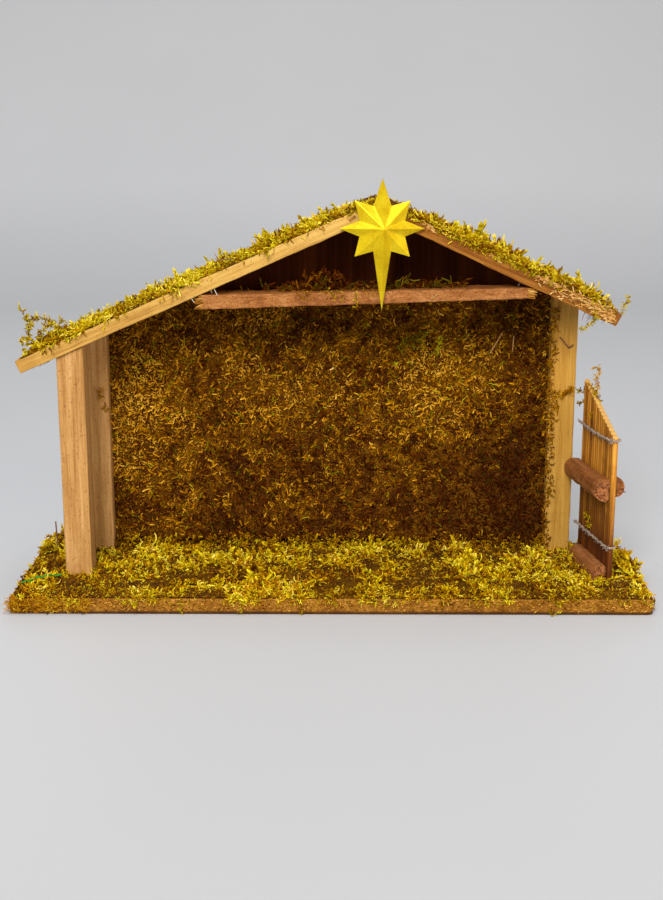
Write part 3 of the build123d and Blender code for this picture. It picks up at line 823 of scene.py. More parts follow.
def lay_sprigs(name, spots, sprigs, finish, replaced=()):
    """One piece from (place, up, spin, lean, size, tone) spots, pressed flat where it meets the ground."""
    shape = bmesh.new()
    for place, up, spin, lean, size, tone in spots:
        turn = up.to_track_quat("Z", "Y") @ Quaternion((0, 0, 1), spin) @ Quaternion((1, 0, 0), lean)
        chosen = sprigs[chance.randrange(SHAPES)][max(0, min(TONES - 1, tone))].copy()
        chosen.transform(Matrix.LocRotScale(place, turn, Vector((size, size, size))))
        shape.from_mesh(chosen)
        bpy.data.meshes.remove(chosen)
    for corner in shape.verts:
        corner.co.z = max(corner.co.z, 0.2 * MM)
    show(name, shape, finish, replaced)


fronds = sprig_set(frond)
flakes = sprig_set(flake)
worms = sprig_set(worm)
blades = sprig_set(blade)
chips = sprig_set(chip)

# Fence logs, with bark and crumbly front ends


def log(node, side, radius, reach, height, short, length):
    """A log with one side planed flat against the reeds; gives the spots of the crumbs on its front end."""
    flat = FENCE_FRONT + side * (REED / 2 + 0.05) + UP * height
    middle = flat + side * (reach - radius) - FENCE_FORWARD * short
    shape = bmesh.new()
    stand = Matrix.Translation((middle - FENCE_FORWARD * (length / 2)) * MM)
    turn = FENCE_FORWARD.to_track_quat("Z", "X").to_matrix().to_4x4()
    bmesh.ops.create_cone(shape, cap_ends=True, segments=28, radius1=radius * MM, radius2=radius * MM,
                          depth=length * MM, matrix=stand @ turn)
    cut_off(shape, flat, -side)
    cut_off(shape, (0.0, POSTS[RIGHT_POST][1], 0.0), BACK)
    cross_cuts(shape, middle - FENCE_FORWARD, -FENCE_FORWARD * 2.5, int(length / 2.5))
    wear(shape, 0.55, 260.0, height)
    show(node + "_bark", shape, rail_bark, (node,))
    crumbs = []
    for _ in range(int(4.5 * radius * radius)):
        across = chance.uniform(radius - reach, radius)
        up = chance.uniform(-radius, radius)
        if across * across + up * up < 0.9 * radius * radius:
            place = middle + side * across + UP * up - FENCE_FORWARD * 0.4
            crumbs.append((place * MM, FENCE_FORWARD, any_spin(), chance.uniform(0.0, 1.1),
                           chance.uniform(0.35, 0.8), round(chance.gauss(7.0, 4.0))))
    return crumbs


crumbs = log("fence_upper_inner_rail", FENCE_INWARD, radius=5.9, reach=8.4, height=UPPER_RAIL_Z, short=1.0,
             length=66.5)
crumbs += log("fence_upper_outer_rail", -FENCE_INWARD, radius=5.3, reach=7.0, height=UPPER_RAIL_Z, short=6.0,
              length=40.5)
crumbs += log("fence_lower_inner_rail", FENCE_INWARD, radius=5.6, reach=7.4, height=BASE_TOP + 5.6,
              short=1.5, length=40.0)
crumb_curls = [(place, up, spin, 0.5 + lean, 0.45 * size, tone + 2)
               for place, up, spin, lean, size, tone in crumbs]
lay_sprigs("fence_rail_crumbs", crumbs, flakes, crumb_tone)
lay_sprigs("fence_rail_curls", crumb_curls, worms, crumb_tone)

# Beds of the moss mats


def inset_in(node):
    """A function that gives how far inside a mat's outline a place is, in metres."""
    corners = [Vector(corner) for corner in nodes[node].bound_box]
    left = min(corner.x for corner in corners)
    right = max(corner.x for corner in corners)
    front = min(corner.y for corner in corners)
    rear = max(corner.y for corner in corners)
    return lambda place: max(0.0, min(place.x - left, right - place.x, place.y - front, rear - place.y))


def on_ground(node, ground, keep, edge, lumps):
    """A lowering that keeps a share of a mat's height over its ground, and thins it towards its edges."""
    inset = inset_in(node)

    def lower(place):
        fade = 0.2 + 0.8 * min(1.0, inset(place) / (edge * MM)) ** 0.6
        level = ground(place.x)
        height = place.z - level
        if height > 0.2 * MM:
            swell = lumps * MM * noise.noise(place * 210.0) * fade
            place.z = level + max(0.15 * MM, height * keep * fade + swell)
        return place

    return lower


def lower_wall(place):
    """The wall's bed, pressed back in an uneven way."""
    height = WALL_BACK * MM - place.y
    if height > 0.5 * MM:
        place.y = WALL_BACK * MM - height * 0.8 - 1.2 * MM * noise.noise(place * 150.0)
    return place


def bed(node, finish, lower):
    """The tangled bed of a moss mat: the mat's solid, cut finer and lowered; gives a tree to find it by."""
    shape = merged_copy(node)
    for _ in range(3):
        long_edges = [edge for edge in shape.edges if edge.calc_length() > 5.0 * MM]
        bmesh.ops.subdivide_edges(shape, edges=long_edges, cuts=1, use_grid_fill=True)
    bmesh.ops.triangulate(shape, faces=shape.faces)
    for corner in shape.verts:
        corner.co = lower(corner.co.copy())
    shape.normal_update()
    tree = BVHTree.FromBMesh(shape)
    show(node + "_bed", shape, finish, (node,))
    return tree


floor_tree = bed("floor_moss", green_bed,
                 on_ground("floor_moss", lambda x: BASE_TOP * MM, keep=0.75, edge=6.0, lumps=0.9))
wall_tree = bed("wall_moss", brown_bed, lower_wall)
left_tree = bed("left_roof_moss", green_bed,
                on_ground("left_roof_moss", roof_top, keep=0.35, edge=7.0, lumps=0.9))
right_tree = bed("right_roof_moss", green_bed,
                 on_ground("right_roof_moss", roof_top, keep=0.4, edge=7.0, lumps=1.0))
loft_tree = bed("loft_moss", green_bed,
                on_ground("loft_moss", tie_top, keep=0.3, edge=3.0, lumps=0.5))

# Places and tones of the sprigs on the beds


def over(left, right, front, rear, columns, rows):
    """Lines that meet a mat from straight above, with their count."""
    start = Vector((left, front, 300.0)) * MM
    return start, RIGHT * ((right - left) * MM), BACK * ((rear - front) * MM), DOWN, columns, rows


def bank(left, right, front, level, columns, rows):
    """Lines that meet the front slope of a mat, from in front and above, with their count."""
    look = Vector((0.0, 0.9, -0.44)).normalized()
    back_off = 50.0
    lift = back_off * look.z / -look.y + 0.3
    start = Vector((left, front - back_off, level(left) + lift)) * MM
    end = Vector((right, front - back_off, level(right) + lift)) * MM
    return start, end - start, UP * (7.0 * MM), look, columns, rows


def scatter(tree, origin, across, along, look, columns, rows):
    """Places and outward directions where an uneven grid of lines meets a bed."""
    found = []
    for row in range(rows):
        for column in range(columns):
            u = (column + chance.random()) / columns
            v = (row + chance.random()) / rows
            place, up, _, _ = tree.ray_cast(origin + across * u + along * v, look)
            if place is not None and up.dot(look) < -0.15:
                found.append((place, up))
    return found


def in_pieces(spots, count):
    """Spots cut into bands along X, each with the same number."""
    ordered = sorted(spots, key=lambda spot: spot[0].x)
    size = -(-len(ordered) // count)
    return [ordered[start:start + size] for start in range(0, len(ordered), size)]


def within(value):
    """A value held between nothing and one."""
    return max(0.0, min(1.0, value))


def near_ridge(place):
    """One at the roof's ridge, falling to nothing 30 mm away."""
    if place.z < 150.0 * MM:
        return 0.0
    return within(1.0 - abs(place.x / MM - RIDGE_X) / 30.0)


def painted_floor_shade(place):
    """How much painted shade darkens the floor's moss at a place: more at the rear; painted light makes it
    lighter to the right.
    """
    if place.z > 50.0 * MM:
        return 0.0
    return 2.2 * within((place.y / MM - 5.0) / 30.0) - 2.0 * within((place.x / MM - 60.0) / 40.0)


def painted_wall_shade(place):
    """How much painted shade darkens the wall's moss at a place: more low, high and at the right; painted
    light makes it lighter at the left.
    """
    low = max(0.0, 1.0 - (place.z / MM - 15.0) / 75.0)
    high = max(0.0, (place.z / MM - 120.0) / 30.0)
    right = within((place.x / MM - 72.0) / 20.0)
    left = within((-45.0 - place.x / MM) / 20.0)
    return 9.0 * low + 3.0 * high + 6.0 * right - 1.8 * left


def curly_here(place):
    """How much of the moss is curly straw at a place, from none to one."""
    return within(0.5 + 1.6 * noise.noise(place * 36.0 + Vector((1, 9, 4))))


def tone_at(place, base, patch, spread):
    """A tone that drifts over the moss in patches."""
    drift = 1.4 * noise.noise(place * 16.0) + 1.6 * noise.noise(place * 48.0) + noise.noise(place * 170.0)
    return round(base + patch * drift + chance.gauss(0.0, spread))


def tufted(found, inset, base, tall, bare, lean):
    """Sprig spots over a bed: clumps of different height and tone, bare places, flatter at the edges."""
    spots = []
    for place, up in found:
        clump = noise.noise(place * 75.0 + Vector((7, 3, 1))) + 0.5 * noise.noise(place * 30.0)
        if clump < bare and chance.random() < 0.8:
            continue
        edge = max(0.0, 1.0 - inset(place) / (6.0 * MM))
        low = 1.0 - 0.6 * near_ridge(place)
        size = tall * low * max(0.5, 0.85 + clump) * chance.uniform(0.65, 1.3)
        tilt = max(chance.uniform(*lean), 1.1 * edge)
        tone = tone_at(place, base + 3.8 * clump - 4.0 * near_ridge(place) - painted_floor_shade(place), 2.3, 3.4)
        spots.append((place - up * 0.4 * MM, up, any_spin(), tilt, size, tone))
    return spots


def pressed(found, base):
    """Leaf spots on the wall, lying nearly flat in all directions, with painted shade in dark hollows
    between.
    """
    spots = []
    for place, up in found:
        # Low values of this noise give the leaves painted shade, as of hollows between them.
        painted_hollows = noise.noise(place * 420.0 + Vector((2, 5, 9))) + 0.8 * noise.noise(place * 190.0)
        tone = tone_at(place, base + 9.0 * painted_hollows - painted_wall_shade(place), 3.3, 2.4)
        spots.append((place - up * 0.3 * MM, up, any_spin(), chance.uniform(0.5, 1.4),
                      0.4 + 1.1 * chance.random() ** 1.5, tone))
    return spots


def dress(node, tree, above, before, base, tall, pieces, green, straw):
    """Brown litter, feathery fronds, curly strands, thin blades and a few splinters, laid over a bed."""
    inset = inset_in(node)

    def strewn():
        return scatter(tree, *above) + scatter(tree, *before)

    def lay(kind, spots, sprigs, finish):
        lay_sprigs(f"{node}_{kind}", spots, sprigs, finish, (node,))

    litter = tufted(strewn() + strewn(), inset, base - 3.0, tall=1.15, bare=-9.0, lean=(0.8, 1.5))
    lay("litter", litter, flakes, green)
    found = [spot for spot in strewn() if chance.random() > 0.35 + 0.4 * straw * curly_here(spot[0])]
    leafy = tufted(found, inset, base, tall, bare=-0.55, lean=(0.65, 1.6))
    for number, part in enumerate(in_pieces(leafy, pieces)):
        lay(f"fronds_{number + 1}", part, fronds, green)
    found = [spot for spot in strewn() if chance.random() < straw * (0.3 + 0.7 * curly_here(spot[0]))]
    curly = tufted(found, inset, base - 0.5, tall=0.8, bare=-2.0, lean=(1.0, 1.65))
    for number, part in enumerate(in_pieces(curly, 2)):
        lay(f"strands_{number + 1}", part, worms, straw_tone)
    some = [spot for spot in strewn() if chance.random() < 0.35]
    lay("curls", tufted(some, inset, base + 0.5, tall=0.9, bare=-0.45, lean=(0.9, 1.6)), worms, green)
    half = chance.sample(found, len(found) // 2)
    lay("blades", tufted(half, inset, base + 2.0, tall=0.9, bare=-0.2, lean=(1.1, 1.55)), blades, green)
    inner = [spot for spot in chance.sample(found, len(found) // 12) if inset(spot[0]) > 4.0 * MM]
    splinters = tufted(inner, inset, 6.5, tall=0.7, bare=-0.5, lean=(1.1, 1.5))
    if splinters:
        lay("splinters", splinters, chips, straw_tone)


LOFT_LEFT = -34.0
LOFT_RIGHT = 70.0
LOFT_FRONT = -12.0
LOFT_REAR = 0.0
dress("floor_moss", floor_tree,
      over(BASE_LEFT, BASE_RIGHT, BASE_FRONT, BASE_REAR, 136, 38),
      bank(BASE_LEFT, BASE_RIGHT, BASE_FRONT, lambda x: BASE_TOP, 230, 5),
      base=7.7, tall=0.78, pieces=3, green=floor_moss_tone, straw=0.85)
dress("left_roof_moss", left_tree,
      over(LEFT_EAVE - 5.0, RIDGE_X, ROOF_FRONT - 1.0, ROOF_REAR + 1.0, 76, 28),
      bank(LEFT_EAVE, RIDGE_X, ROOF_FRONT, roof_level, 120, 4),
      base=7.2, tall=0.78, pieces=2, green=roof_moss_tone, straw=0.55)
dress("right_roof_moss", right_tree,
      over(RIDGE_X, RIGHT_EAVE + 5.0, ROOF_FRONT - 1.0, ROOF_REAR + 1.0, 52, 28),
      bank(RIDGE_X, RIGHT_EAVE, ROOF_FRONT, roof_level, 85, 4),
      base=6.0, tall=0.81, pieces=2, green=roof_moss_tone, straw=0.7)
# The loft's moss gets very dark tones: painted shade under the roof.
dress("loft_moss", loft_tree,
      over(LOFT_LEFT, LOFT_RIGHT, LOFT_FRONT, LOFT_REAR, 48, 5),
      bank(LOFT_LEFT, LOFT_RIGHT, LOFT_FRONT, tie_level, 60, 2),
      base=1.2, tall=0.85, pieces=1, green=wall_moss_tone, straw=0.5)

wall_found = scatter(wall_tree, Vector((-0.125, -0.1, 0.015)), Vector((0.25, 0, 0)), Vector((0, 0, 0.145)),
                     BACK, 246, 134)
for number, part in enumerate(in_pieces(pressed(wall_found, 9.2), 2)):
    lay_sprigs(f"wall_moss_leaves_{number + 1}", part, flakes, wall_moss_tone, ("wall_moss",))
for kind, sprigs, finish, base, count, size, lean in (
        ("strands", worms, wall_moss_tone, 8.4, 2500, (0.22, 0.6), (1.1, 1.5)),
        ("fronds", fronds, wall_moss_tone, 6.6, 340, (0.35, 0.6), (0.8, 1.4)),
        ("blades", blades, wall_green_tone, 7.2, 1900, (0.5, 1.1), (1.1, 1.5)),
        ("tufts", fronds, wall_green_tone, 7.4, 330, (0.3, 0.55), (0.9, 1.4)),
        ("straws", chips, straw_tone, 4.5, 26, (0.6, 1.3), (1.2, 1.4))):
    spots = [(place, up, spin, chance.uniform(*lean), chance.uniform(*size), tone)
             for place, up, spin, _, _, tone in chance.sample(pressed(wall_found, base), count)]
    lay_sprigs(f"wall_moss_{kind}", spots, sprigs, finish, ("wall_moss",))

# Moss that hangs over edges and gathers round feet, at places in millimetres
HANG_SPIN = 0.0
RISE_SPIN = pi


def edge_spot(x, y, z, spin, spread, base, size):
    """A sprig against an upright front face, turned by its spin: 0 hangs, pi rises."""
    place = Vector((x, y, z)) * MM
    return (place, FRONT, chance.gauss(spin, spread), chance.uniform(1.1, 1.55),
            chance.uniform(0.7, 1.2) * size, tone_at(place, base, 1.5, 2.6))


def loose_spot(place, up, lean, size, base, patch, spread):
    """A sprig turned any way, with its lean and its size from their ranges."""
    place = place * MM
    return (place, up, any_spin(), chance.uniform(*lean), chance.uniform(*size),
            tone_at(place, base, patch, spread))


def corner_spots():
    """Curly strands that climb the base board's front at its left corner."""
    spots = []
    for _ in range(420):
        x = BASE_LEFT + 0.5 + 42.0 * chance.random() ** 1.5
        z = chance.uniform(0.8, BASE_TOP)
        spots.append(edge_spot(x, BASE_FRONT - 0.2, z, RISE_SPIN, 1.2, 8.5, 0.62))
    return spots


def fringe_spots():
    """Sprigs that hang over the base board's front edge in loose groups."""
    spots = []
    for _ in range(520):
        x = chance.uniform(BASE_LEFT, BASE_RIGHT)
        thick = noise.noise(Vector((x * 0.055, 0.0, 4.0)))
        if chance.random() < 0.35 + thick:
            z = BASE_TOP + 0.4 - 1.5 * chance.random()
            spots.append(edge_spot(x, BASE_FRONT - 0.2, z, HANG_SPIN, 1.2, 8.0 + 3.0 * thick,
                                   0.4 + 0.3 * max(0.0, thick)))
    return spots


def right_roof_fringe_spots():
    """Sprigs that hang over the right roof board's front edge."""
    spots = []
    for _ in range(340):
        x = chance.uniform(RIDGE_X - 16.0, RIGHT_EAVE)
        z = roof_level(x) + 0.5 - 1.8 * chance.random() ** 2
        spots.append(edge_spot(x, ROOF_FRONT - 0.1, z, HANG_SPIN, 1.3, 6.0, 0.38))
    return spots


def foot_spots():
    """Sprigs along the foot of the wall, round the posts and inside the fence."""
    spots = []
    # Dark tones along the wall's foot: painted shade in the corner between the floor and the wall.
    for _ in range(330):
        x = chance.uniform(-121.0, 118.0)
        place = Vector((x, 31.5 - 3.5 * chance.random(), BASE_TOP + 3.5 + 5.0 * chance.random()))
        spots.append(loose_spot(place, Vector((0, -0.5, 0.85)), (0.1, 1.2), (0.4, 0.8), 4.2, 1.8, 3.0))
    for left, front in POSTS.values():
        for _ in range(60):
            around = any_spin()
            reach = POST * 0.5 / max(abs(cos(around)), abs(sin(around))) + 0.6
            place = Vector((left + POST / 2 + reach * cos(around), front + POST / 2 + reach * sin(around),
                            BASE_TOP + 2.5))
            spots.append(loose_spot(place, UP, (0.0, 0.8), (0.45, 0.9), 6.5, 1.6, 2.6))
    for _ in range(90):
        place = (FENCE_FRONT + FENCE_INWARD * chance.uniform(6.0, 11.0)
                 - FENCE_FORWARD * chance.uniform(-4.0, 42.0) + UP * (BASE_TOP + 2.5))
        spots.append(loose_spot(place, UP, (0.0, 0.9), (0.6, 1.0), 7.0, 2.0, 3.0))
    return spots


def foot_litter_spots():
    """Brown flakes in the corner between the floor and the wall, darkened as painted shade there."""
    spots = []
    for _ in range(900):
        place = Vector((chance.uniform(-122.0, 119.0), chance.uniform(29.0, 33.0),
                        chance.uniform(11.0, 19.0)))
        spots.append(loose_spot(place, Vector((0, -0.8, 0.6)), (0.3, 1.3), (0.8, 1.6), 3.5, 1.8, 2.4))
    return spots


lay_sprigs("corner_moss", corner_spots(), worms, straw_tone, ("floor_moss",))
lay_sprigs("front_fringe", fringe_spots(), fronds, floor_moss_tone, ("floor_moss",))
lay_sprigs("right_roof_fringe", right_roof_fringe_spots(), fronds, roof_moss_tone,
           ("right_roof_moss",))
foot_moss = foot_spots()
lay_sprigs("foot_litter", foot_litter_spots(), flakes, floor_moss_tone, ("floor_moss",))
lay_sprigs("foot_moss", foot_moss, fronds, floor_moss_tone, ("floor_moss",))

# Rough fibres and splinters on sawn edges


def lying_spot(place, outward, spin, spread, lean, size, base, tones):
    """A flake or splinter that lies against an upright face."""
    return (place * MM, outward, spin + chance.gauss(0.0, spread), chance.uniform(*lean),
            chance.uniform(*size), round(chance.gauss(base, tones)))


def base_fibre_spots():
    """Short fibres along the base board's four sides, none of them past its corners."""
    spots = []
    for outward, half, length, count in ((FRONT, BASE_REAR, 2 * BASE_RIGHT, 3600),
                                         (BACK, BASE_REAR, 2 * BASE_RIGHT, 1800),
                                         (LEFT, BASE_RIGHT, 2 * BASE_REAR, 600),
                                         (RIGHT, BASE_RIGHT, 2 * BASE_REAR, 600)):
        along = UP.cross(outward)
        for _ in range(count):
            share = chance.uniform(-0.497, 0.497)
            height = chance.uniform(1.9, BASE_TOP - 0.2)
            place = outward * (half - 0.15) + along * (length * share) + UP * height
            lying = -pi / 2 if share > 0.45 or (share > -0.45 and chance.random() < 0.5) else pi / 2
            spots.append(lying_spot(place, outward, lying, 0.55, (1.15, 1.45), (0.3, 0.75), 8.0, 4.8))
    return spots


def either_way(x, clear):
    """A spin along the right roof board's slope: up or down, but only up near the eave."""
    return (pi / 2 if chance.random() < 0.5 and x < RIGHT_EAVE - clear else -pi / 2) - RIGHT_PITCH


def roof_splinter_spots():
    """Pale splinters along the right roof board's front edge, in groups, and most at the eave."""
    spots = []
    for _ in range(420):
        x = RIGHT_EAVE - 0.5 - (RIGHT_EAVE - RIDGE_X - 14.5) * chance.random() ** 1.7
        if x < RIGHT_EAVE - 22.0 and noise.noise(Vector((x * 0.09, 2.0, 0.0))) < 0.22:
            continue
        drop = 2.6 * chance.random() ** 1.3 + (2.5 * chance.random() if x > RIGHT_EAVE - 16.0 else 0.0)
        place = Vector((x, ROOF_FRONT - 0.15, roof_level(x) - drop))
        spots.append(lying_spot(place, FRONT, either_way(x, 6.0), 0.25, (1.25, 1.5), (0.3, 0.75), 9.5, 3.6))
    return spots


def roof_end_spots():
    """Pale flakes on the right roof board's front edge, over its whole height at the eave."""
    spots = []
    for _ in range(480):
        x = RIGHT_EAVE - 0.6 - 40.0 * chance.random() ** 1.7
        drop = 0.3 + (ROOF_THICK - 1.0) * chance.random() ** (1.0 + (RIGHT_EAVE - x) / 12.0)
        place = Vector((x, ROOF_FRONT - 0.1, roof_level(x) - drop))
        spots.append(lying_spot(place, FRONT, either_way(x, 3.0), 0.5, (1.15, 1.45), (0.6, 1.3), 12.0, 3.4))
    return spots


def tie_splinter_spots():
    """Pale splinters at both ends of the tie beam, pointing outwards."""
    spots = []
    for x, tall, spin in ((TIE_LEFT, TIE_LEFT_HEIGHT, -pi / 2), (TIE_RIGHT, TIE_RIGHT_HEIGHT, pi / 2)):
        for _ in range(40):
            height = underside(x) - tall + tall * chance.uniform(0.08, 0.92)
            place = Vector((x - 2.4 * sin(spin), TIE_FRONT - 0.05, height))
            spots.append(lying_spot(place, FRONT, spin, 0.25, (1.35, 1.5), (0.4, 0.75), 7.0, 3.0))
    return spots


lay_sprigs("base_fibres", base_fibre_spots(), flakes, fibre_tone)
roof_splinters = roof_splinter_spots()
lay_sprigs("roof_end_flakes", roof_end_spots(), flakes, splinter_tone)
lay_sprigs("wood_splinters", roof_splinters + tie_splinter_spots(), chips, splinter_tone)

# Twine of two plies, twisted round each other along the fence and round its first reed
TWIST = 2.5
PLY = 0.4
SIDE_STEP = REED / 2 + 0.1 + 2 * PLY


def twine_route(distance):
    """A place along the binding and the direction across it, from its inner rear end, in millimetres."""
    straight = FENCE_RUN + 3.0
    if distance < straight:
        return FENCE_FRONT + FENCE_INWARD * SIDE_STEP - FENCE_FORWARD * (straight - distance), FENCE_INWARD
    angle = (distance - straight) / SIDE_STEP
    if angle < pi:
        outward = FENCE_INWARD * cos(angle) + FENCE_FORWARD * sin(angle)
        return FENCE_FRONT + outward * SIDE_STEP, outward
    rest = distance - straight - pi * SIDE_STEP
    return FENCE_FRONT - FENCE_INWARD * SIDE_STEP - FENCE_FORWARD * rest, -FENCE_INWARD


def cord(name, courses, radius, finish, replaced=()):
    """Round strands along lines of places, in millimetres, as one piece."""
    line = bpy.data.curves.new(name, "CURVE")
    line.dimensions = "3D"
    line.bevel_depth = radius * MM
    line.bevel_resolution = 1
    line.resolution_u = 2
    line.use_fill_caps = True
    for course in courses:
        strand = line.splines.new("NURBS")
        strand.points.add(len(course) - 1)
        strand.order_u = min(4, len(course))
        strand.use_endpoint_u = True
        for point, place in zip(strand.points, course):
            point.co = (*(Vector(place) * MM), 1.0)
    settle(name, line, finish, replaced)


def bind(node, height, sag):
    """Twisted, fuzzy twine in place of the frame's plain one, with a frayed end and a knot in front."""
    knot = FENCE_RUN + 4.5
    end_frays = 14
    knot_frays = 26

    def hang(distance):
        return sag * sin(min(1.0, distance / 50.0) * pi)

    plies = []
    for start in (0.0, pi):
        course = []
        for step in range(250):
            distance = 0.41 * step
            place, outward = twine_route(distance)
            angle = start + 2 * pi * distance / TWIST
            drop = hang(distance) + 0.7 * noise.noise(Vector((distance * 0.3, height, 0)))
            course.append(place + outward * (PLY * cos(angle)) + UP * (height - drop + PLY * sin(angle)))
        plies.append(course)
    cord(node + "_plies", plies, PLY, twine_fibre, (node,))
    frays = []
    for number in range(110):
        at_end = number < end_frays
        at_knot = number < end_frays + knot_frays
        distance = 0.0 if at_end else knot if at_knot else knot * chance.random()
        place, outward = twine_route(distance)
        lift = UP * (height - hang(distance) + chance.gauss(0.0, 0.4))
        frays.append(((place + outward * 0.3 + lift) * MM, -FENCE_FORWARD if at_end else outward, any_spin(),
                      chance.uniform(0.2, 1.4), chance.uniform(0.16, 0.34), round(chance.gauss(7.0, 4.0))))
    lay_sprigs(node + "_frays", frays, worms, fray_tone)


bind("fence_upper_twine", height=87.2, sag=1.0)
bind("fence_lower_twine", height=30.0, sag=0.4)

# Loose bits that stand out from the moss, at places in millimetres


def upright(depth, *places):
    """A line of (x, z) places in one upright plane."""
    return [(x, depth, z) for x, z in places]


def branch(course, size, base, spread):
    """Sprig spots along a line of places, each sprig growing on towards the next place."""
    spots = []
    for start, end in zip(course, course[1:]):
        run = Vector(end) - Vector(start)
        count = max(1, round(run.length / (2.4 * size)))
        for number in range(count):
            place = Vector(start) + run * ((number + chance.random()) / count)
            spots.append((place * MM, run.normalized(), any_spin(), chance.gauss(0.0, spread),
                          size * chance.uniform(0.7, 1.2), round(chance.gauss(base, 2.6))))
    return spots


def branches(courses, size, base, spread):
    """Sprig spots along several lines of places."""
    return [spot for course in courses for spot in branch(course, size, base, spread)]


EAVE_Y = -10.0
eave_tuft = [
    upright(EAVE_Y, (-158.5, 133.0), (-156.0, 142.0), (-157.0, 147.0), (-159.6, 152.0)),
    upright(EAVE_Y, (-157.0, 146.0), (-152.5, 149.5), (-147.0, 147.5), (-141.0, 144.0)),
    upright(EAVE_Y, (-151.0, 136.0), (-149.0, 141.5), (-145.5, 146.5)),
    upright(EAVE_Y, (-144.0, 139.0), (-139.0, 147.5)),
    upright(EAVE_Y, (-160.5, 131.0), (-159.5, 138.0)),
]
eave_sprigs = [
    upright(-18.0, (147.0, 151.0), (148.0, 155.5), (150.6, 160.5)),
    [(133.0, -20.6, 156.0), (134.0, -20.6, 150.0), (131.0, -19.5, 146.0), (127.0, -18.0, 143.5)],
    upright(-19.0, (117.0, 167.0), (118.5, 171.5)),
]
roof_loose = branches(eave_tuft * 2, 0.58, 7.5, 0.7) + branches(eave_sprigs * 2, 0.36, 9.0, 0.4)
lay_sprigs("roof_loose_moss", roof_loose, fronds, roof_moss_tone)

post_clump = [
    upright(POST_FACE, (117.5, 98.0 + lift), (124.0, 99.0 + lift), (129.0, 102.5 + 0.5 * lift),
            (131.5, 104.5))
    for lift in (0.0, 2.0, 4.0)]
post_clump += [
    upright(POST_FACE, (122.0, 100.0), (124.5, 94.5)),
    upright(POST_FACE, (117.0, 87.5), (122.5, 87.0)),
    upright(POST_FACE, (-129.0, 104.0), (-126.0, 99.5), (-122.6, 92.5)),
]
long_strand = [(-26.8, 29.0, 145.0), (-30.0, 28.5, 138.0), (-34.0, 28.5, 131.8), (-38.5, 28.5, 124.1)]
wall_loose = branches(post_clump, 0.62, 9.0, 0.8) + branch(long_strand, 0.36, 9.0, 0.3)
for _ in range(340):
    z = chance.uniform(14.0, 150.0)
    reach = 2.2 + 4.0 * noise.noise(Vector((0.0, 3.0, z * 0.05)))
    x = POSTS[RIGHT_POST][0] - 1.5 + max(0.0, reach + 1.5) * chance.random()
    wall_loose.append(edge_spot(x, POST_FACE, z, pi / 2, 1.4, 6.2, 0.4))
lay_sprigs("wall_loose_moss", wall_loose, fronds, wall_moss_tone)

fern = upright(WALL_FACE, (56.8, 122.3), (58.2, 128.0), (58.8, 133.0))
green_patch = [upright(WALL_FACE, (35.0 + 2.0 * row, 126.5 + 2.6 * row), (49.0 + row, 130.0 + 2.6 * row))
               for row in range(3)]
wall_green = branch(fern, 0.42, 11.0, 0.8) + branch(fern, 0.36, 12.0, 0.8)
wall_green += branches(green_patch, 0.45, 5.5, 1.2)
lay_sprigs("wall_green_moss", wall_green, fronds, wall_green_tone)

# Very dark tones: painted shade of the loft under the roof.
for name, finish, base, count in (("loft_brown_wisps", wall_moss_tone, 1.4, 120),
                                  ("loft_green_wisps", wall_green_tone, 2.2, 80)):
    wisps = []
    for _ in range(count):
        x = chance.uniform(-36.0, 69.0)
        place = Vector((x, chance.uniform(-14.0, 2.0), tie_level(x) + 1.0)) * MM
        tall = max(0.5, 1.0 + 1.2 * noise.noise(Vector((x * 0.06, 0.0, 8.0))))
        wisps.append((place, UP, any_spin(), abs(chance.gauss(0.0, 0.7)), tall * chance.uniform(0.5, 1.2),
                      tone_at(place, base, 2.0, 2.6)))
    lay_sprigs(name, wisps, blades, finish)
# Very dark tones: painted shade of the loft under the roof.
loft_heap = []
for _ in range(80):
    x = chance.gauss(-3.0, 7.0)
    place = Vector((x, chance.uniform(-7.0, 3.0), tie_level(x) + chance.uniform(1.0, 6.0)))
    loft_heap.append(loose_spot(place, UP, (0.2, 1.3), (0.5, 0.9), 0.8, 2.0, 2.4))
lay_sprigs("loft_heap", loft_heap, fronds, wall_moss_tone)

tie_hang = [
    upright(TIE_FACE, (12.0, 164.0), (12.4, 159.4), (12.9, 154.3)),
    upright(TIE_FACE, (-2.0, 164.0), (2.0, 160.0)),
    upright(TIE_FACE, (4.0, 163.5), (5.3, 158.4)),
]
lay_sprigs("tie_moss", branches(tie_hang, 0.34, 7.0, 0.5), fronds, floor_moss_tone)
tie_litter = []
for middle, half in ((-14.0, 4.0), (1.0, 6.0), (20.0, 5.0)):
    for _ in range(40):
        x = middle + half * chance.uniform(-1.0, 1.0)
        drop = 4.5 * chance.random() ** 2
        tie_litter.append(edge_spot(x, TIE_FACE, tie_level(x) + 0.8 - drop, HANG_SPIN, 1.2, 5.0, 0.32))
lay_sprigs("tie_litter", tie_litter, worms, straw_tone)

DRIP_Y = BASE_FRONT - 1.0
drips = [
    upright(DRIP_Y, (-77.7, 8.5), (-77.0, 1.5)),
    upright(DRIP_Y, (-47.5, 8.5), (-46.0, 4.0), (-47.2, 0.6)),
    upright(DRIP_Y, (-17.0, 8.5), (-15.0, 4.0), (-16.4, 0.6)),
    upright(DRIP_Y, (1.0, 8.5), (3.0, 4.9)),
    upright(DRIP_Y, (14.0, 9.0), (16.0, 6.0)),
    upright(DRIP_Y, (110.5, 3.0), (113.0, 0.8), (117.0, 1.6)),
]
fence_bits = [
    [(138.2, 23.0, 104.0), (134.4, 23.0, 104.6)],
    [(138.2, 23.0, 98.0), (134.8, 23.0, 97.0)],
    [(139.5, 19.0, 108.5), (143.0, 5.0, 102.5)],
    [(138.0, 5.0, 97.0), (138.4, 4.0, 94.0)],
    [(138.6, 8.0, 41.0), (139.4, 2.0, 36.0), (139.0, 4.0, 33.0)],
]
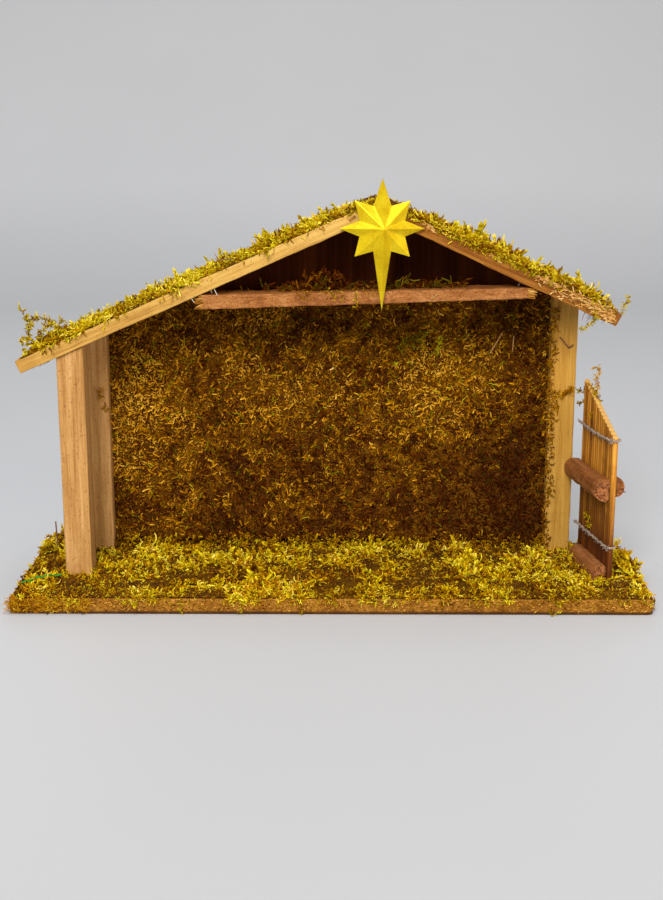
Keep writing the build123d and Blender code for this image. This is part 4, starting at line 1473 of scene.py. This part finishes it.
floor_loose = branches(drips, 0.36, 9.5, 0.5) + branches(fence_bits * 2, 0.4, 6.0, 0.7)
for _ in range(120):
    place = Vector((chance.uniform(149.0, 163.0), chance.uniform(-14.0, 14.0), BASE_TOP + 4.0))
    floor_loose.append(loose_spot(place, UP, (0.0, 0.9), (0.6, 1.2), 8.0, 2.0, 3.0))
for _ in range(110):
    place = Vector((chance.uniform(-160.0, -141.0), chance.uniform(16.0, 42.0),
                    BASE_TOP + chance.uniform(3.0, 9.0)))
    floor_loose.append(loose_spot(place, UP, (0.0, 0.9), (0.6, 1.1), 6.0, 2.0, 3.0))
lay_sprigs("floor_loose_moss", floor_loose, fronds, floor_moss_tone)

top_sprig = upright(15.0, (143.0, 104.0), (143.4, 108.0), (141.8, 112.0), (144.0, 115.5), (143.0, 119.0),
                    (140.8, 118.4))
top_spots = branch(top_sprig, 0.36, 10.0, 0.6) + branch(top_sprig, 0.3, 9.0, 0.6)
lay_sprigs("fence_top_sprig", top_spots, fronds, straw_tone)
dyed_course = [Vector((-160.5, -37.5, 14.0)) + Vector((1.0, 0.7, 0.0)) * (1.5 * step)
               + Vector((0.0, 0.6 * sin(2.1 * step), 1.6 * sin(pi * step / 12) + 0.6 * sin(1.7 * step)))
               for step in range(13)]
cord("dyed_strand", [dyed_course], 0.42, dyed_fibre)

bristles = []
for count, left, right, depth, spread, lean, size, tones in (
        (26, -157.0, -143.0, EAVE_Y, 0.5, (0.8, 1.4), (0.4, 0.9), (0, 3)),
        (16, 128.0, 139.0, EAVE_Y - 6.0, 0.4, (0.3, 0.9), (0.4, 0.8), (3, 9))):
    for _ in range(count):
        x = chance.uniform(left, right)
        bristles.append((Vector((x, depth, underside(x))) * MM, DOWN, chance.gauss(pi / 2, spread),
                         chance.uniform(*lean), chance.uniform(*size), chance.randint(*tones)))
lay_sprigs("eave_bristles", bristles, chips, crumb_tone)

glue_threads = [
    [(-59.5, -18.6, 164.4), (-58.6, -18.9, 162.8), (-57.8, -19.2, 161.2)],
    [(-72.6, -19.4, 162.4), (-71.4, -19.5, 160.0), (-69.4, -19.6, 157.4)],
]
cord("glue_threads", glue_threads, 0.16, glue_white)
pale_straws = [
    [(86.3, WALL_FACE, 124.0), (89.4, WALL_FACE - 0.6, 129.6), (92.7, WALL_FACE, 135.3)],
    [(98.5, WALL_FACE, 124.8), (98.6, WALL_FACE - 0.6, 129.2), (98.9, WALL_FACE, 133.5)],
    [(50.3, TIE_FACE, 159.4), (52.0, TIE_FACE - 0.3, 160.8), (53.8, TIE_FACE, 161.9)],
]
cord("pale_straws", pale_straws, 0.32, straw_skin)
pale_flecks = [
    (Vector((0.8, WALL_FACE, 115.7)) * MM, FRONT, -1.2, 1.25, 1.5, 15),
    (Vector((9.0, ROOF_FRONT - 0.6, 199.0)) * MM, FRONT, 2.7, 1.3, 2.2, 14),
]
lay_sprigs("pale_flecks", pale_flecks, flakes, splinter_tone)
dark_twigs = [
    upright(20.0, (-153.6, 12.0), (-153.4, 21.0), (-154.0, 30.3)),
    [(123.5, POST_FACE + 0.2, 133.4), (126.5, POST_FACE, 130.0), (128.6, POST_FACE, 127.4)],
    upright(POST_FACE, (128.4, 127.4), (129.6, 128.0), (130.9, 129.3)),
    [(-58.0, -16.0, 178.4), (-54.0, -16.5, 179.2), (-50.6, -17.0, 178.9)],
]
cord("dark_twigs", dark_twigs, 0.4, twig_bark)

bpy.context.view_layer.update()
